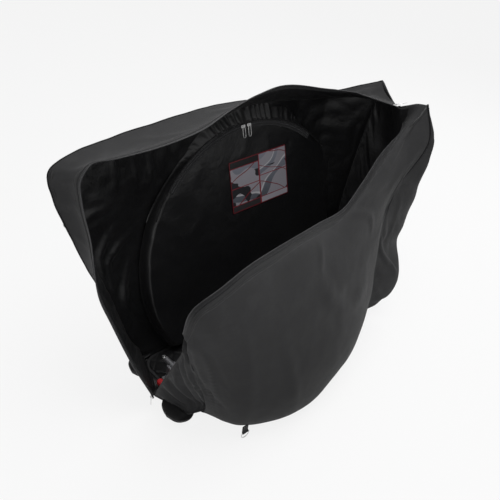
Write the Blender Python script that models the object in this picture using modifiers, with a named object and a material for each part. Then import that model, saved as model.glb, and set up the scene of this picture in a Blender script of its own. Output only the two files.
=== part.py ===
"""Soft bike travel bag, standing open on its casters.

The bag is modelled in the way it is made: a stiff base board on four swivel casters, a keel that
holds the bicycle by its axles, and padded fabric walls. The far half stands up with its wheel
pocket, the near half has slumped outwards, and the main zip between them is open.

Axes: X runs from the handlebar end to the saddle end, Y from the near half to the far half, Z up.
While modelling, X = 0 is the front of the base, Y = 0 the line of the main zip and Z = 0 the floor.
The last step moves the whole bag so that the origin is under the middle of its bounding box.
"""

import math

import bmesh
import bpy
import numpy as np
from mathutils import Matrix, Vector
from mathutils.bvhtree import BVHTree

# Overall sizes of the bag, which the soft outlines follow (metres)
LENGTH = 1.03
WIDTH = 0.536
HEIGHT = 0.976

# Clearances
SEAT_GAP = 0.0003
RUNNING_GAP = 0.0005
SEAT_STEPS = 4
CUT_OVERRUN = 0.02

# Fabric walls
WALL_THICKNESS = 0.007
GUSSET_THICKNESS = 0.005
FAR_BULGE = 0.058
STRIP_BULGE = 0.018
PIPING_ROOM = 0.012
REAR_SEAM_INSET = 0.0105
REAR_SEAM_DROP = 0.035

# Base board and its mat
BOARD_THICKNESS = 0.010
BOARD_NEAR = 0.135
BOARD_FAR = 0.152
BOARD_CORNER_RADIUS = 0.06
MAT_THICKNESS = 0.004
MAT_MARGIN = 0.012

# Casters
WHEEL_DIAMETER = 0.056
WHEEL_WIDTH = 0.020
WHEEL_BORE_RADIUS = 0.0032
WHEEL_CROWN = 0.003
WHEEL_HUB_SHARE = 0.333
WHEEL_DISH_SHARES = (1.3, 0.6)
CASTER_TRAIL = 0.014
CASTER_INSET_X = 0.075
CASTER_INSET_Y = 0.050
CROWN_THICKNESS = 0.006
CROWN_RADIUS = 0.017
CROWN_CLEARANCE = 0.0035
FORK_LEG_THICKNESS = 0.003
FORK_LEG_WIDTH = 0.016
KINGPIN_RADIUS = 0.005
PLATE_THICKNESS = 0.004
PLATE_LENGTH = 0.062
PLATE_WIDTH = 0.052

# Keel, the beam along the base
KEEL_WIDTH = 0.046
KEEL_HEIGHT = 0.022
KEEL_FRONT = 0.030
KEEL_REAR = 1.005
KEEL_CAP_LENGTH = 0.020
BOLT_RADIUS = 0.005
BOLT_HEIGHT = 0.004
KEEL_BOLT_SHARES = {"keel_bolt_front": 0.22, "keel_bolt_rear": 0.62}

# Axle mounts on the keel
FORK_MOUNT_X = 0.070
REAR_MOUNT_X = 0.960
PEDESTAL_LENGTH = 0.034
FRONT_HUB_HEIGHT = 0.150
FRONT_HUB_LENGTH = 0.100
FRONT_HUB_RADIUS = 0.011
REAR_HUB_HEIGHT = 0.205
REAR_HUB_LENGTH = 0.130
REAR_HUB_RADIUS = 0.014
CARRIAGE_LENGTH = 0.060
CARRIAGE_WALL = 0.004
AXLE_RADIUS = 0.0045
AXLE_OVERHANG = 0.014
NUT_RADIUS = 0.009
NUT_LENGTH = 0.008
LEVER_LENGTH = 0.048
LEVER_WIDTH = 0.012
LEVER_THICKNESS = 0.006

# Zips
TAPE_WIDTH = 0.010
TAPE_THICKNESS = 0.0012
BEAD_WIDTH = 0.004
BEAD_THICKNESS = 0.003
TAPE_SEAT = 0.0018
STRAIGHT_COLUMNS = 3
FAR_SIDE = 1
NEAR_SIDE = -1
FRONT_SLIDER_START = 0.002
REAR_SLIDER_START = 0.004
REAR_PULL_LIFT = math.radians(28)
SLIDER_LENGTH = 0.018
SLIDER_WALL = 0.0022
BAIL_HEIGHT = 0.0050
BAIL_WALL = 0.0016
BAIL_LENGTH = 0.0070
BAIL_WIDTH = 0.0036
PULL_LENGTH = 0.042
PULL_WIDTH = 0.012
PULL_WIRE = 0.0011

# Wheel pockets, whose radii and places follow the height of the walls
POCKET_RADIUS_SHARE = 0.5123
ARCH_MARGIN = 0.019
POCKET_LEAST = 0.007
POCKET_PLANE_SHARES = (0.30, 0.86)
POCKET_DEPTH_LOW = 0.0905
POCKET_DEPTH_TOP = 0.0250
NEAR_POCKET_DEPTH = 0.030
POCKET_SIDES = 32
POCKET_RING_SHARES = (0.25, 0.5, 0.75, 0.9, 1.0)
POCKET_FRONT_SHARE = 0.07
POCKET_REAR_SHARE = 0.97
CAST_BACK = 0.30
NEAR_POCKET_LEAN_DEG = 8.0
NEAR_POCKET_RADIUS_SHARE = 0.2766
NEAR_POCKET_CENTRE_SHARES = (0.42, -0.30, 0.37)
ARCH_ENDS_DEG = (-47, 41)
ARCH_STEPS = 26
ARCH_SLIDER_SPACING = 0.028
CARD_WIDTH = 0.283
CARD_HEIGHT = 0.196
CARD_THICKNESS = 0.0010

# Webbing, rings and handles
WEBBING_WIDTH = 0.025
WEBBING_THICKNESS = 0.0018
RING_WIRE = 0.0020
RING_WIDTH = 0.034
RING_DEPTH = 0.026
TAB_LENGTH = 0.030
HANDLE_SPAN = 0.150
HANDLE_DROP = 0.030
HANDLE_WIDTH = 0.030
HANDLE_THICKNESS = 0.004
HANDLE_SEAT = 0.006
HANDLE_BOW_SHARES = (0.0, 0.1, 0.25, 0.4, 0.5, 0.6, 0.75, 0.9, 1.0)
HANDLE_HEIGHT_SHARE = 0.60

# Front corner boots
BOOT_RADIUS_X = 0.052
BOOT_RADIUS_Y = 0.058
BOOT_RADIUS_Z = 0.050
BOOT_CENTRE_X = 0.016
BOOT_CENTRE_NEAR = 0.098
BOOT_CENTRE_FAR = 0.145
BOOT_CENTRE_Z = 0.075
BOOT_OVERLAP = 0.022
BOOT_SHOULDER_Z = 0.0585
BOOT_LEDGE = 0.006

# Heights worked out from the casters up
CROWN_TOP = WHEEL_DIAMETER + CROWN_CLEARANCE + CROWN_THICKNESS
PLATE_TOP = CROWN_TOP + RUNNING_GAP + PLATE_THICKNESS
BOARD_BOTTOM = PLATE_TOP + SEAT_GAP
BOARD_TOP = BOARD_BOTTOM + BOARD_THICKNESS
MAT_TOP = BOARD_TOP + SEAT_GAP + MAT_THICKNESS
KEEL_BOTTOM = MAT_TOP + SEAT_GAP
KEEL_TOP = KEEL_BOTTOM + KEEL_HEIGHT

# Radii of the wheel pockets and of the arched zip
POCKET_RADIUS = POCKET_RADIUS_SHARE * HEIGHT
ARCH_RADIUS = POCKET_RADIUS - ARCH_MARGIN
NEAR_POCKET_RADIUS = NEAR_POCKET_RADIUS_SHARE * HEIGHT

# Outlines of the soft walls, in shares of LENGTH, WIDTH and HEIGHT
FAR_TOP_SHARES = [
    (-0.216, 0.500, 0.924), (-0.190, 0.505, 0.940), (-0.070, 0.515, 0.962), (0.143, 0.540, 0.966),
    (0.333, 0.570, 0.962), (0.515, 0.590, 0.948), (0.667, 0.590, 0.925), (0.833, 0.565, 0.905),
    (0.938, 0.490, 0.912), (1.026, 0.330, 0.951), (1.077, 0.220, 0.978),
]
FAR_FRONT_SHARES = [
    (0.017, 0.304, 0.110), (-0.050, 0.380, 0.330), (-0.126, 0.460, 0.549), (-0.194, 0.500, 0.769),
    (-0.216, 0.500, 0.890), (-0.216, 0.500, 0.924),
]
FAR_ZIP_FRONT_SHARES = [
    (-0.018, 0.008, 0.066), (-0.048, 0.034, 0.148), (-0.078, 0.060, 0.231), (-0.126, 0.160, 0.423),
    (-0.154, 0.200, 0.541), (-0.152, 0.280, 0.714), (-0.166, 0.300, 0.823), (-0.176, 0.300, 0.929),
]
FAR_ZIP_TOP_SHARES = [
    (-0.176, 0.300, 0.929), (-0.131, 0.300, 0.969), (-0.073, 0.260, 0.978), (0.083, 0.260, 0.974),
    (0.248, 0.300, 0.974), (0.389, 0.360, 0.991), (0.521, 0.400, 1.002), (0.672, 0.420, 0.998),
    (0.859, 0.340, 0.960), (0.968, 0.200, 0.957), (1.022, 0.100, 0.945), (1.038, 0.008, 0.926),
]
NEAR_ZIP_SHARES = [
    (-0.052, -0.360, 0.515), (-0.047, -0.440, 0.643), (0.036, -0.460, 0.686),
    (0.143, -0.440, 0.710), (0.290, -0.400, 0.710), (0.483, -0.340, 0.698), (0.629, -0.300, 0.693),
    (0.746, -0.240, 0.737), (0.838, -0.200, 0.796), (0.949, -0.140, 0.831), (1.026, -0.090, 0.854),
    (1.062, -0.040, 0.879), (1.042, -0.008, 0.926),
]
NEAR_BRIM_SHARES = [
    (-0.057, -0.400, 0.516), (-0.031, -0.480, 0.659), (0.281, -0.440, 0.709),
    (0.604, -0.340, 0.692), (0.833, -0.240, 0.791), (0.990, -0.185, 0.884), (1.077, -0.180, 0.978),
]
NEAR_UPPER_SHARES = [
    (-0.052, -0.400, 0.473), (0.000, -0.520, 0.615), (0.281, -0.490, 0.670),
    (0.604, -0.400, 0.659), (0.833, -0.300, 0.725), (0.955, -0.262, 0.768), (1.063, -0.258, 0.800),
]
NEAR_SHOULDER_SHARES = [
    (-0.037, -0.400, 0.424), (0.042, -0.555, 0.517), (0.292, -0.560, 0.566),
    (0.594, -0.475, 0.566), (0.823, -0.340, 0.605), (0.965, -0.240, 0.670),
]
NEAR_WAIST_SHARES = [
    (-0.021, -0.400, 0.374), (0.083, -0.580, 0.418), (0.302, -0.620, 0.462),
    (0.583, -0.540, 0.473), (0.813, -0.380, 0.495), (0.917, -0.240, 0.462),
]
NEAR_BELLY_SHARES = [
    (0.036, -0.390, 0.187), (0.135, -0.605, 0.176), (0.344, -0.690, 0.187), (0.638, -0.600, 0.198),
    (0.846, -0.385, 0.220), (0.922, -0.270, 0.220),
]
NEAR_LOW_SHARES = [
    (0.062, -0.330, 0.082), (0.148, -0.512, 0.044), (0.352, -0.634, 0.034), (0.674, -0.502, 0.044),
    (0.864, -0.326, 0.066), (0.917, -0.295, 0.080),
]
CREASE_SHARES = [
    (0.021, -0.280, 0.079), (0.088, -0.360, 0.109), (0.028, -0.400, 0.245),
    (-0.021, -0.400, 0.396), (-0.052, -0.360, 0.515),
]
GUSSET_ZIP_SHARES = [
    (-0.018, -0.008, 0.066), (-0.026, -0.100, 0.177), (-0.024, -0.200, 0.300),
    (-0.029, -0.300, 0.420), (-0.052, -0.360, 0.515),
]
PIPING_SHARES = [
    (0.922, -0.280, 0.075), (0.926, -0.270, 0.231), (0.916, -0.240, 0.432), (0.926, -0.240, 0.514),
    (0.965, -0.240, 0.670), (1.024, -0.240, 0.722), (1.067, -0.260, 0.796), (1.073, -0.270, 0.850),
    (1.077, -0.180, 0.978),
]
REAR_NEAR_EDGE_SHARES = [
    (1.002, -0.276, 0.073), (1.042, -0.320, 0.132), (1.063, -0.332, 0.209), (1.073, -0.282, 0.275),
    (1.083, -0.212, 0.347), (1.083, -0.236, 0.434), (1.078, -0.262, 0.543), (1.076, -0.284, 0.667),
    (1.082, -0.298, 0.769), (1.085, -0.290, 0.843), (1.084, -0.180, 0.969),
]
REAR_NEAR_BACK_SHARES = [
    (1.0048, -0.150, 0.073), (1.076, -0.170, 0.209), (1.083, -0.110, 0.350), (1.089, -0.140, 0.550),
    (1.085, -0.150, 0.770), (1.073, -0.110, 0.895),
]
REAR_MIDDLE_SHARES = [
    (1.0048, 0.000, 0.073), (1.073, 0.000, 0.209), (1.083, 0.000, 0.440), (1.089, 0.000, 0.659),
    (1.079, 0.000, 0.790), (1.060, -0.004, 0.842),
]
REAR_FAR_BACK_SHARES = [
    (1.0048, 0.150, 0.073), (1.060, 0.150, 0.209), (1.078, 0.130, 0.440), (1.085, 0.120, 0.659),
    (1.080, 0.110, 0.810), (1.070, 0.100, 0.870),
]

# Shares that divide the walls
FAR_FRONT_COLUMNS = 10
FAR_TOP_COLUMNS = 16
STRIP_ROWS = 3
WALL_ROWS = 5
NEAR_COLUMNS = 18
NEAR_ROWS = 12
REAR_COLUMNS = 10
FRONT_FOOT_SHARE = 0.22
FAR_FOOT_END_SHARE = 1.005
BULGE_FRONT_SHARES = (-0.20, 0.25)
BULGE_REAR_SHARES = (0.86, 1.07)
SWING_SPLIT_SHARE = 0.896
NEAR_REAR_TRIM_SHARE = 0.25
CREASE_SEAM_SHARE = 0.90
CARD_CORNER_SHARES = (0.470, 0.537)
ARCH_CENTRE_X_SHARE = 0.561
ARCH_DROP_SHARE = 0.1711

# The hem that the near half swings on
WELT_RADIUS = 0.004
RING_AIM_SHARES = {
    "rear_near": ((1.301, -0.399, 0.7746), (-2, 1, 0), True),
    "near_bottom": ((0.1466, -1.1996, 0.0676), (0, 1, 0), False),
    "far_front": ((-0.600, 0.4664, 0.7633), (1, 0, 0), True),
}
HINGE_Y = -(BOARD_NEAR + SEAT_GAP + WELT_RADIUS)
HINGE_Z = BOARD_TOP - WELT_RADIUS
SWING_SPLIT_X = SWING_SPLIT_SHARE * LENGTH

part = bpy.data.collections.new("bike_travel_bag")
cutters = bpy.data.collections.new("cutters")


# Scene, materials and plain shapes

def clear_scene():
    """Remove whatever the file opened with."""
    for thing in list(bpy.data.objects):
        bpy.data.objects.remove(thing, do_unlink=True)
    bpy.context.scene.collection.children.link(part)
    bpy.context.scene.collection.children.link(cutters)


def material(name, colour, roughness, metallic=0.0):
    """A Principled material, made once for each name."""
    found = bpy.data.materials.get(name)
    if found:
        return found
    made = bpy.data.materials.new(name)
    made.use_nodes = True
    shader = made.node_tree.nodes["Principled BSDF"]
    shader.inputs["Base Color"].default_value = (*colour, 1.0)
    shader.inputs["Roughness"].default_value = roughness
    shader.inputs["Metallic"].default_value = metallic
    return made


def outer_fabric():
    return material("outer_fabric", (0.045, 0.045, 0.047), 0.8)


def lining_fabric():
    return material("lining_fabric", (0.012, 0.012, 0.013), 0.4)


def webbing():
    return material("webbing", (0.015, 0.015, 0.016), 0.75)


def black_plastic():
    return material("black_plastic", (0.02, 0.02, 0.021), 0.45)


def red_plastic():
    return material("red_plastic", (0.45, 0.02, 0.025), 0.4)


def aluminium():
    return material("aluminium", (0.32, 0.32, 0.33), 0.4, 1.0)


def steel():
    return material("steel", (0.55, 0.55, 0.56), 0.3, 1.0)


def rubber():
    return material("rubber", (0.02, 0.02, 0.02), 0.85)


def add_object(name, mesh, finish, group=None):
    """Put a mesh in the scene as a named object."""
    thing = bpy.data.objects.new(name, mesh)
    (group or part).objects.link(thing)
    mesh.materials.clear()
    if finish:
        mesh.materials.append(finish)
    return thing


def mesh_from(build):
    """A mesh that a bmesh function fills."""
    mesh = bpy.data.meshes.new("shape")
    shape = bmesh.new()
    build(shape)
    bmesh.ops.recalc_face_normals(shape, faces=shape.faces)
    shape.to_mesh(mesh)
    shape.free()
    return mesh


def box(name, low, high, finish, bevel=0.0, group=None):
    """A box between two corners, with its origin in its middle."""
    low, high = Vector(low), Vector(high)
    size = high - low

    def build(shape):
        bmesh.ops.create_cube(shape, size=1.0)
        bmesh.ops.scale(shape, vec=size, verts=shape.verts)

    thing = add_object(name, mesh_from(build), finish, group)
    thing.location = (low + high) / 2
    if bevel:
        edge = thing.modifiers.new("edges", "BEVEL")
        edge.width = bevel
        edge.segments = 1
    return thing


def rounded_plate(name, low, high, radius, finish):
    """A plate whose four upright edges are rounded."""
    low, high = Vector(low), Vector(high)
    size = high - low

    def build_plate(shape):
        bmesh.ops.create_cube(shape, size=1.0)
        bmesh.ops.scale(shape, vec=size, verts=shape.verts)
        upright = [e for e in shape.edges if abs(e.verts[0].co.z - e.verts[1].co.z) > size.z / 2]
        bmesh.ops.bevel(shape, geom=upright, offset=radius, segments=5, profile=0.5, affect="EDGES",
                        clamp_overlap=True)

    thing = add_object(name, mesh_from(build_plate), finish)
    thing.location = (low + high) / 2
    return thing


def cylinder(name, start, end, radius, finish, sides=20, group=None):
    """A cylinder from one point to another."""
    start, end = Vector(start), Vector(end)

    def build(shape):
        bmesh.ops.create_cone(shape, cap_ends=True, segments=sides, radius1=radius, radius2=radius,
                              depth=(end - start).length)

    thing = add_object(name, mesh_from(build), finish, group)
    thing.location = (start + end) / 2
    thing.rotation_mode = "QUATERNION"
    thing.rotation_quaternion = (end - start).to_track_quat("Z", "Y")
    thing.data.shade_smooth()
    thing.data.set_sharp_from_angle(angle=math.radians(40))
    return thing


def boolean(target, tool, operation):
    """Cut, join or keep the common part; the tool is hidden from the build."""
    if tool.name not in cutters.objects:
        for group in list(tool.users_collection):
            group.objects.unlink(tool)
        cutters.objects.link(tool)
    tool.hide_render = True
    tool.display_type = "WIRE"
    step = target.modifiers.new(operation.lower(), "BOOLEAN")
    step.operation = operation
    step.solver = "EXACT"
    step.object = tool


def turned(name, profile, finish, steps):
    """A closed profile of (radius, height) points turned round Z, outer side first."""
    mesh = bpy.data.meshes.new("profile")
    points = [(radius, 0.0, height) for radius, height in profile]
    edges = [(i, (i + 1) % len(points)) for i in range(len(points))]
    mesh.from_pydata(points, edges, [])
    thing = add_object(name, mesh, finish)
    turn = thing.modifiers.new("turn", "SCREW")
    turn.steps = steps
    turn.render_steps = steps
    turn.use_merge_vertices = True
    turn.merge_threshold = 0.00001
    turn.use_smooth_shade = True
    return thing


def wire(name, points, radius, finish, closed=False, resolution=1):
    """A round wire along straight stretches between points."""
    curve = bpy.data.curves.new(name, "CURVE")
    curve.dimensions = "3D"
    curve.bevel_depth = radius
    curve.bevel_resolution = resolution
    curve.use_fill_caps = True
    spline = curve.splines.new("POLY")
    spline.points.add(len(points) - 1)
    for point, place in zip(spline.points, points):
        point.co = (*place, 1.0)
    spline.use_cyclic_u = closed
    thing = bpy.data.objects.new(name, curve)
    part.objects.link(thing)
    curve.materials.append(finish)
    return thing


# Smooth lines and lofted sheets

def places(shares):
    """Points of the bag from shares of its overall sizes."""
    return np.array(shares) * np.array([LENGTH, WIDTH, HEIGHT])


def smooth_line(points, count):
    """Evenly spaced points on a smooth curve through the given ones."""
    points = np.asarray(points, float)
    reach = np.concatenate([[0.0], np.cumsum(np.linalg.norm(np.diff(points, axis=0), axis=1))])
    slopes = np.empty_like(points)
    slopes[0] = (points[1] - points[0]) / (reach[1] - reach[0])
    slopes[-1] = (points[-1] - points[-2]) / (reach[-1] - reach[-2])
    slopes[1:-1] = (points[2:] - points[:-2]) / (reach[2:] - reach[:-2])[:, None]
    line = []
    for along in np.linspace(0.0, reach[-1], count + 1):
        i = int(np.clip(np.searchsorted(reach, along, side="right") - 1, 0, len(points) - 2))
        span = reach[i + 1] - reach[i]
        t = (along - reach[i]) / span
        line.append((2 * t**3 - 3 * t**2 + 1) * points[i] + (t**3 - 2 * t**2 + t) * span * slopes[i]
                    + (3 * t**2 - 2 * t**3) * points[i + 1] + (t**3 - t**2) * span * slopes[i + 1])
    return np.array(line)


def loft(guides, columns, rows):
    """A grid of points: each guide gives evenly spaced columns, smooth curves join the guides."""
    rails = np.array([smooth_line(guide, columns) for guide in guides])
    return np.stack([smooth_line(rails[:, i], rows) for i in range(columns + 1)], axis=1)


def sheet(name, grid, thickness, finish, side=-1):
    """A fabric wall: an open grid of points given its thickness on one side."""
    rows, columns = len(grid), len(grid[0])
    points = [tuple(p) for row in grid for p in row]
    corners = [r * columns + c for r in range(rows - 1) for c in range(columns - 1)]
    faces = [(i, i + 1, i + columns + 1) for i in corners]
    faces += [(i, i + columns + 1, i + columns) for i in corners]
    mesh = bpy.data.meshes.new(name)
    mesh.from_pydata(points, [], faces)
    thing = add_object(name, mesh, finish)
    wall = thing.modifiers.new("thickness", "SOLIDIFY")
    wall.thickness = thickness
    wall.offset = side
    wall.use_even_offset = True
    mesh.shade_smooth()
    mesh.set_sharp_from_angle(angle=math.radians(50))
    return thing


def sweep(name, path, across, section, finish):
    """A section swept along a path: its first axis lies along across, its second is square to both."""
    path = np.asarray(path, float)
    across = np.broadcast_to(np.asarray(across, float), path.shape)
    tangents = np.gradient(path, axis=0)
    rings = []
    for place, tangent, wide in zip(path, tangents, across):
        normal = np.cross(tangent, wide)
        normal /= np.linalg.norm(normal)
        side = wide / np.linalg.norm(wide)
        rings.append([place + a * side + b * normal for a, b in section])
    count = len(section)
    points = [tuple(p) for ring in rings for p in ring]
    faces = [tuple(range(count)), tuple(range(len(points) - 1, len(points) - count - 1, -1))]
    for r in range(len(rings) - 1):
        for c in range(count):
            d = (c + 1) % count
            faces.append((r * count + c, (r + 1) * count + c, (r + 1) * count + d, r * count + d))

    def build(shape):
        made = [shape.verts.new(p) for p in points]
        for face in faces:
            shape.faces.new([made[i] for i in face])

    return add_object(name, mesh_from(build), finish)


def flat_section(width, thickness):
    """The section of a flat strap."""
    half, deep = width / 2, thickness / 2
    return [(-half, -deep), (half, -deep), (half, deep), (-half, deep)]


def evaluated_tree(thing):
    """A search tree on an object as it stands with its modifiers."""
    bpy.context.view_layer.update()
    graph = bpy.context.evaluated_depsgraph_get()
    return BVHTree.FromObject(thing, graph)


# Far half: wall, front and top strip in one padded sheet

FOOT_Y = BOARD_FAR + SEAT_GAP + WALL_THICKNESS


def smooth_step(value, low, high):
    t = np.clip((value - low) / (high - low), 0.0, 1.0)
    return t * t * (3 - 2 * t)


def far_wall_y(x, z):
    """Where the far wall's outer face lies: straight from foot to top seam, plus a bulge."""
    top = places(FAR_TOP_SHARES)
    seam_y = np.interp(x, top[:, 0], top[:, 1])
    seam_z = np.interp(x, top[:, 0], top[:, 2])
    rise = np.clip((z - MAT_TOP) / (seam_z - MAT_TOP), 0.0, 1.0)
    front, rear = BULGE_FRONT_SHARES, BULGE_REAR_SHARES
    fade = smooth_step(x, front[0] * LENGTH, front[1] * LENGTH)
    fade *= 1.0 - smooth_step(x, rear[0] * LENGTH, rear[1] * LENGTH)
    return FOOT_Y + (seam_y - FOOT_Y) * rise + FAR_BULGE * fade * np.sin(np.pi * rise)


def far_columns():
    """The top seam, the zip edge and the foot of the far half, one point of each for a column."""
    front = smooth_line(places(FAR_FRONT_SHARES), FAR_FRONT_COLUMNS)
    top = smooth_line(places(FAR_TOP_SHARES), FAR_TOP_COLUMNS)
    zip_front = smooth_line(places(FAR_ZIP_FRONT_SHARES), FAR_FRONT_COLUMNS)
    zip_top = smooth_line(places(FAR_ZIP_TOP_SHARES), FAR_TOP_COLUMNS)
    zip_front[1] = (zip_front[0] + zip_front[2]) / 2
    zip_top[-2] = (zip_top[-1] + zip_top[-3]) / 2
    seam = np.vstack([front, top[1:]])
    edge = np.vstack([zip_front, zip_top[1:]])
    share = np.concatenate([np.linspace(0.0, FRONT_FOOT_SHARE, FAR_FRONT_COLUMNS + 1),
                            np.linspace(FRONT_FOOT_SHARE, 1.0, FAR_TOP_COLUMNS + 1)[1:]])
    start = seam[0, 0]
    foot_x = start + share * (FAR_FOOT_END_SHARE * LENGTH - start)
    seam[:, 1] = [far_wall_y(x, z) for x, _, z in seam]
    return seam, edge, foot_x


def strip_rows(seam, edge):
    """The strip between the zip edge and the seam, arched a little outwards."""
    along = np.gradient(seam, axis=0)
    outward = np.cross(along, edge - seam)
    outward /= np.linalg.norm(outward, axis=1)[:, None]
    rows = []
    for share in np.linspace(0.0, 1.0, STRIP_ROWS + 1)[:-1]:
        rise = STRIP_BULGE * math.sin(math.pi * share)
        rows.append(edge + (seam - edge) * share + outward * rise)
    return rows


def far_grid():
    seam, edge, foot_x = far_columns()
    rows = strip_rows(seam, edge) + [seam]
    for share in np.linspace(0.0, 1.0, WALL_ROWS + 1)[1:]:
        x = seam[:, 0] + (foot_x - seam[:, 0]) * share
        z = seam[:, 2] + (MAT_TOP - seam[:, 2]) * share
        rows.append(np.stack([x, [far_wall_y(a, b) for a, b in zip(x, z)], z], axis=1))
    foot = rows[-1].copy()
    foot[:, 2] = BOARD_BOTTOM
    return np.array(rows + [foot])


def far_shell():
    return sheet("far_shell", far_grid(), WALL_THICKNESS, outer_fabric(), side=-1)


# Near half: the slumped side panel, swinging on the hem at the base's near edge

def near_foot():
    """The lower edge of the near half, a straight line just outside the hem."""
    low = places(NEAR_LOW_SHARES)
    y = HINGE_Y - WELT_RADIUS - SEAT_GAP * 2
    z = HINGE_Z - WALL_THICKNESS / 2
    ends = [(low[0, 0] - WALL_THICKNESS, y, z), (low[-1, 0], y, z)]
    return np.array([ends[0], (np.array(ends[0]) + np.array(ends[1])) / 2, ends[1]])


def near_grid():
    tables = (NEAR_ZIP_SHARES, NEAR_BRIM_SHARES, NEAR_UPPER_SHARES, NEAR_SHOULDER_SHARES,
              NEAR_WAIST_SHARES, NEAR_BELLY_SHARES, NEAR_LOW_SHARES)
    grid = loft([places(table) for table in tables] + [near_foot()], NEAR_COLUMNS, NEAR_ROWS)
    inward = grid[:, -2] - grid[:, -1]
    grid[:, -1] += inward * NEAR_REAR_TRIM_SHARE
    return grid


def split_box(name, front):
    """A cutter that takes everything in front of, or behind, the plane where the near half splits."""
    reach = LENGTH + WIDTH
    low, high = SWING_SPLIT_X + RUNNING_GAP / 2, reach
    if front:
        low, high = -reach, SWING_SPLIT_X - RUNNING_GAP / 2
    return box(name, (low, -reach, -reach), (high, reach, reach), None, group=cutters)


def near_half():
    """The panel that swings and the rear stretch that stays sewn to the rear end."""
    moving = sheet("near_shell", near_grid(), WALL_THICKNESS, outer_fabric(), side=1)
    boolean(moving, split_box("keep_front", True), "INTERSECT")
    fixed = sheet("near_rear_panel", near_grid(), WALL_THICKNESS, outer_fabric(), side=1)
    boolean(fixed, split_box("keep_rear", False), "INTERSECT")
    cove = cylinder("hem_cove", (-LENGTH, HINGE_Y, HINGE_Z), (2 * LENGTH, HINGE_Y, HINGE_Z),
                    WELT_RADIUS + SEAT_GAP * 2, None, 16, cutters)
    boolean(moving, cove, "DIFFERENCE")
    boolean(fixed, cove, "DIFFERENCE")
    return moving


def near_front_gusset():
    """The crumpled triangle between the zip's lower end and the near half's front crease."""
    crease = smooth_line(places(CREASE_SHARES), WALL_ROWS * 2)
    edge = smooth_line(places(GUSSET_ZIP_SHARES), WALL_ROWS * 2)
    seam = edge + (crease - edge) * CREASE_SEAM_SHARE
    rows = [edge + (seam - edge) * share for share in (0.0, 1 / 3, 2 / 3, 1.0)]
    grid = np.array(rows)[:, :-1]
    return sheet("near_front_gusset", grid, GUSSET_THICKNESS, outer_fabric(), side=1)


# Rear end, closed, round the base's rear

def rear_grid():
    tables = (PIPING_SHARES, REAR_NEAR_EDGE_SHARES, REAR_NEAR_BACK_SHARES, REAR_MIDDLE_SHARES,
              REAR_FAR_BACK_SHARES)
    guides = [places(table) for table in tables]
    count = NEAR_ROWS
    rails = [smooth_line(guide, count) for guide in guides]
    rearward = rails[1] - rails[0]
    rails[0] = rails[0] + rearward / np.linalg.norm(rearward, axis=1)[:, None] * PIPING_ROOM / 2
    far = far_grid()[STRIP_ROWS:, -1][::-1].copy()
    far[:, 1] -= REAR_SEAM_INSET
    far[-1, 2] -= REAR_SEAM_DROP
    rails.append(smooth_line(far, count))
    return np.stack([smooth_line(np.array(rails)[:, i], REAR_COLUMNS) for i in range(count + 1)], axis=1)


def rear_end():
    return sheet("rear_end", rear_grid(), GUSSET_THICKNESS, outer_fabric(), side=1)


# Base board, mat, hem and front corner boots

BOARD_FRONT = 0.030
BOARD_REAR = LENGTH


def base_board():
    """The stiff board, a rounded rectangle, and the padded mat on it."""
    low = Vector((BOARD_FRONT, -BOARD_NEAR, BOARD_BOTTOM))
    high = Vector((BOARD_REAR, BOARD_FAR, BOARD_TOP))
    rounded_plate("base_board", low, high, BOARD_CORNER_RADIUS, black_plastic())
    inset = Vector((MAT_MARGIN, MAT_MARGIN, 0))
    rise = Vector((0, 0, BOARD_THICKNESS + SEAT_GAP))
    mat_high = high - inset + Vector((0, 0, MAT_TOP - BOARD_TOP))
    rounded_plate("base_mat", low + inset + rise, mat_high, BOARD_CORNER_RADIUS - MAT_MARGIN, lining_fabric())


def hem():
    """The welt along the board's near edge, which the near half swings on."""
    rear = places(NEAR_LOW_SHARES)[-1, 0]
    front = BOARD_FRONT + BOARD_CORNER_RADIUS
    cylinder("near_hem", (front, HINGE_Y, HINGE_Z), (rear, HINGE_Y, HINGE_Z), WELT_RADIUS, webbing(), 12)


def corner_boot(name, centre_x, centre_y):
    """A rounded pad under a front corner of the board, cut flat against the board's underside."""

    def build_boot(shape):
        bmesh.ops.create_uvsphere(shape, u_segments=20, v_segments=12, radius=1.0)
        bmesh.ops.scale(shape, vec=(BOOT_RADIUS_X, BOOT_RADIUS_Y, BOOT_RADIUS_Z), verts=shape.verts)
        bmesh.ops.translate(shape, vec=(centre_x, centre_y, BOOT_CENTRE_Z), verts=shape.verts)
        for place, normal in (((BOARD_FRONT + BOOT_OVERLAP, 0, 0), (1, 0, 0)),
                              ((0, 0, BOARD_BOTTOM - SEAT_GAP), (0, 0, 1))):
            cut = bmesh.ops.bisect_plane(shape, geom=shape.verts[:] + shape.edges[:] + shape.faces[:],
                                         plane_co=place, plane_no=normal, clear_outer=True)
            rim = [e for e in cut["geom_cut"] if isinstance(e, bmesh.types.BMEdge)]
            bmesh.ops.edgeloop_fill(shape, edges=rim)

    boot = add_object(name, mesh_from(build_boot), outer_fabric())
    reach = BOOT_RADIUS_X + BOOT_RADIUS_Y
    notch = box(name + "_notch", (-reach, centre_y - reach, BOOT_SHOULDER_Z),
                (BOARD_FRONT - BOOT_LEDGE, centre_y + reach, BOARD_TOP), None, group=cutters)
    boolean(boot, notch, "DIFFERENCE")
    boot.data.shade_smooth()
    boot.data.set_sharp_from_angle(angle=math.radians(50))


# Casters

def caster_places():
    front = BOARD_FRONT + CASTER_INSET_X
    rear = BOARD_REAR - CASTER_INSET_X
    near = -BOARD_NEAR + CASTER_INSET_Y
    far = BOARD_FAR - CASTER_INSET_Y
    return {"front_near": (front, near), "front_far": (front, far),
            "rear_near": (rear, near), "rear_far": (rear, far)}


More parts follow.
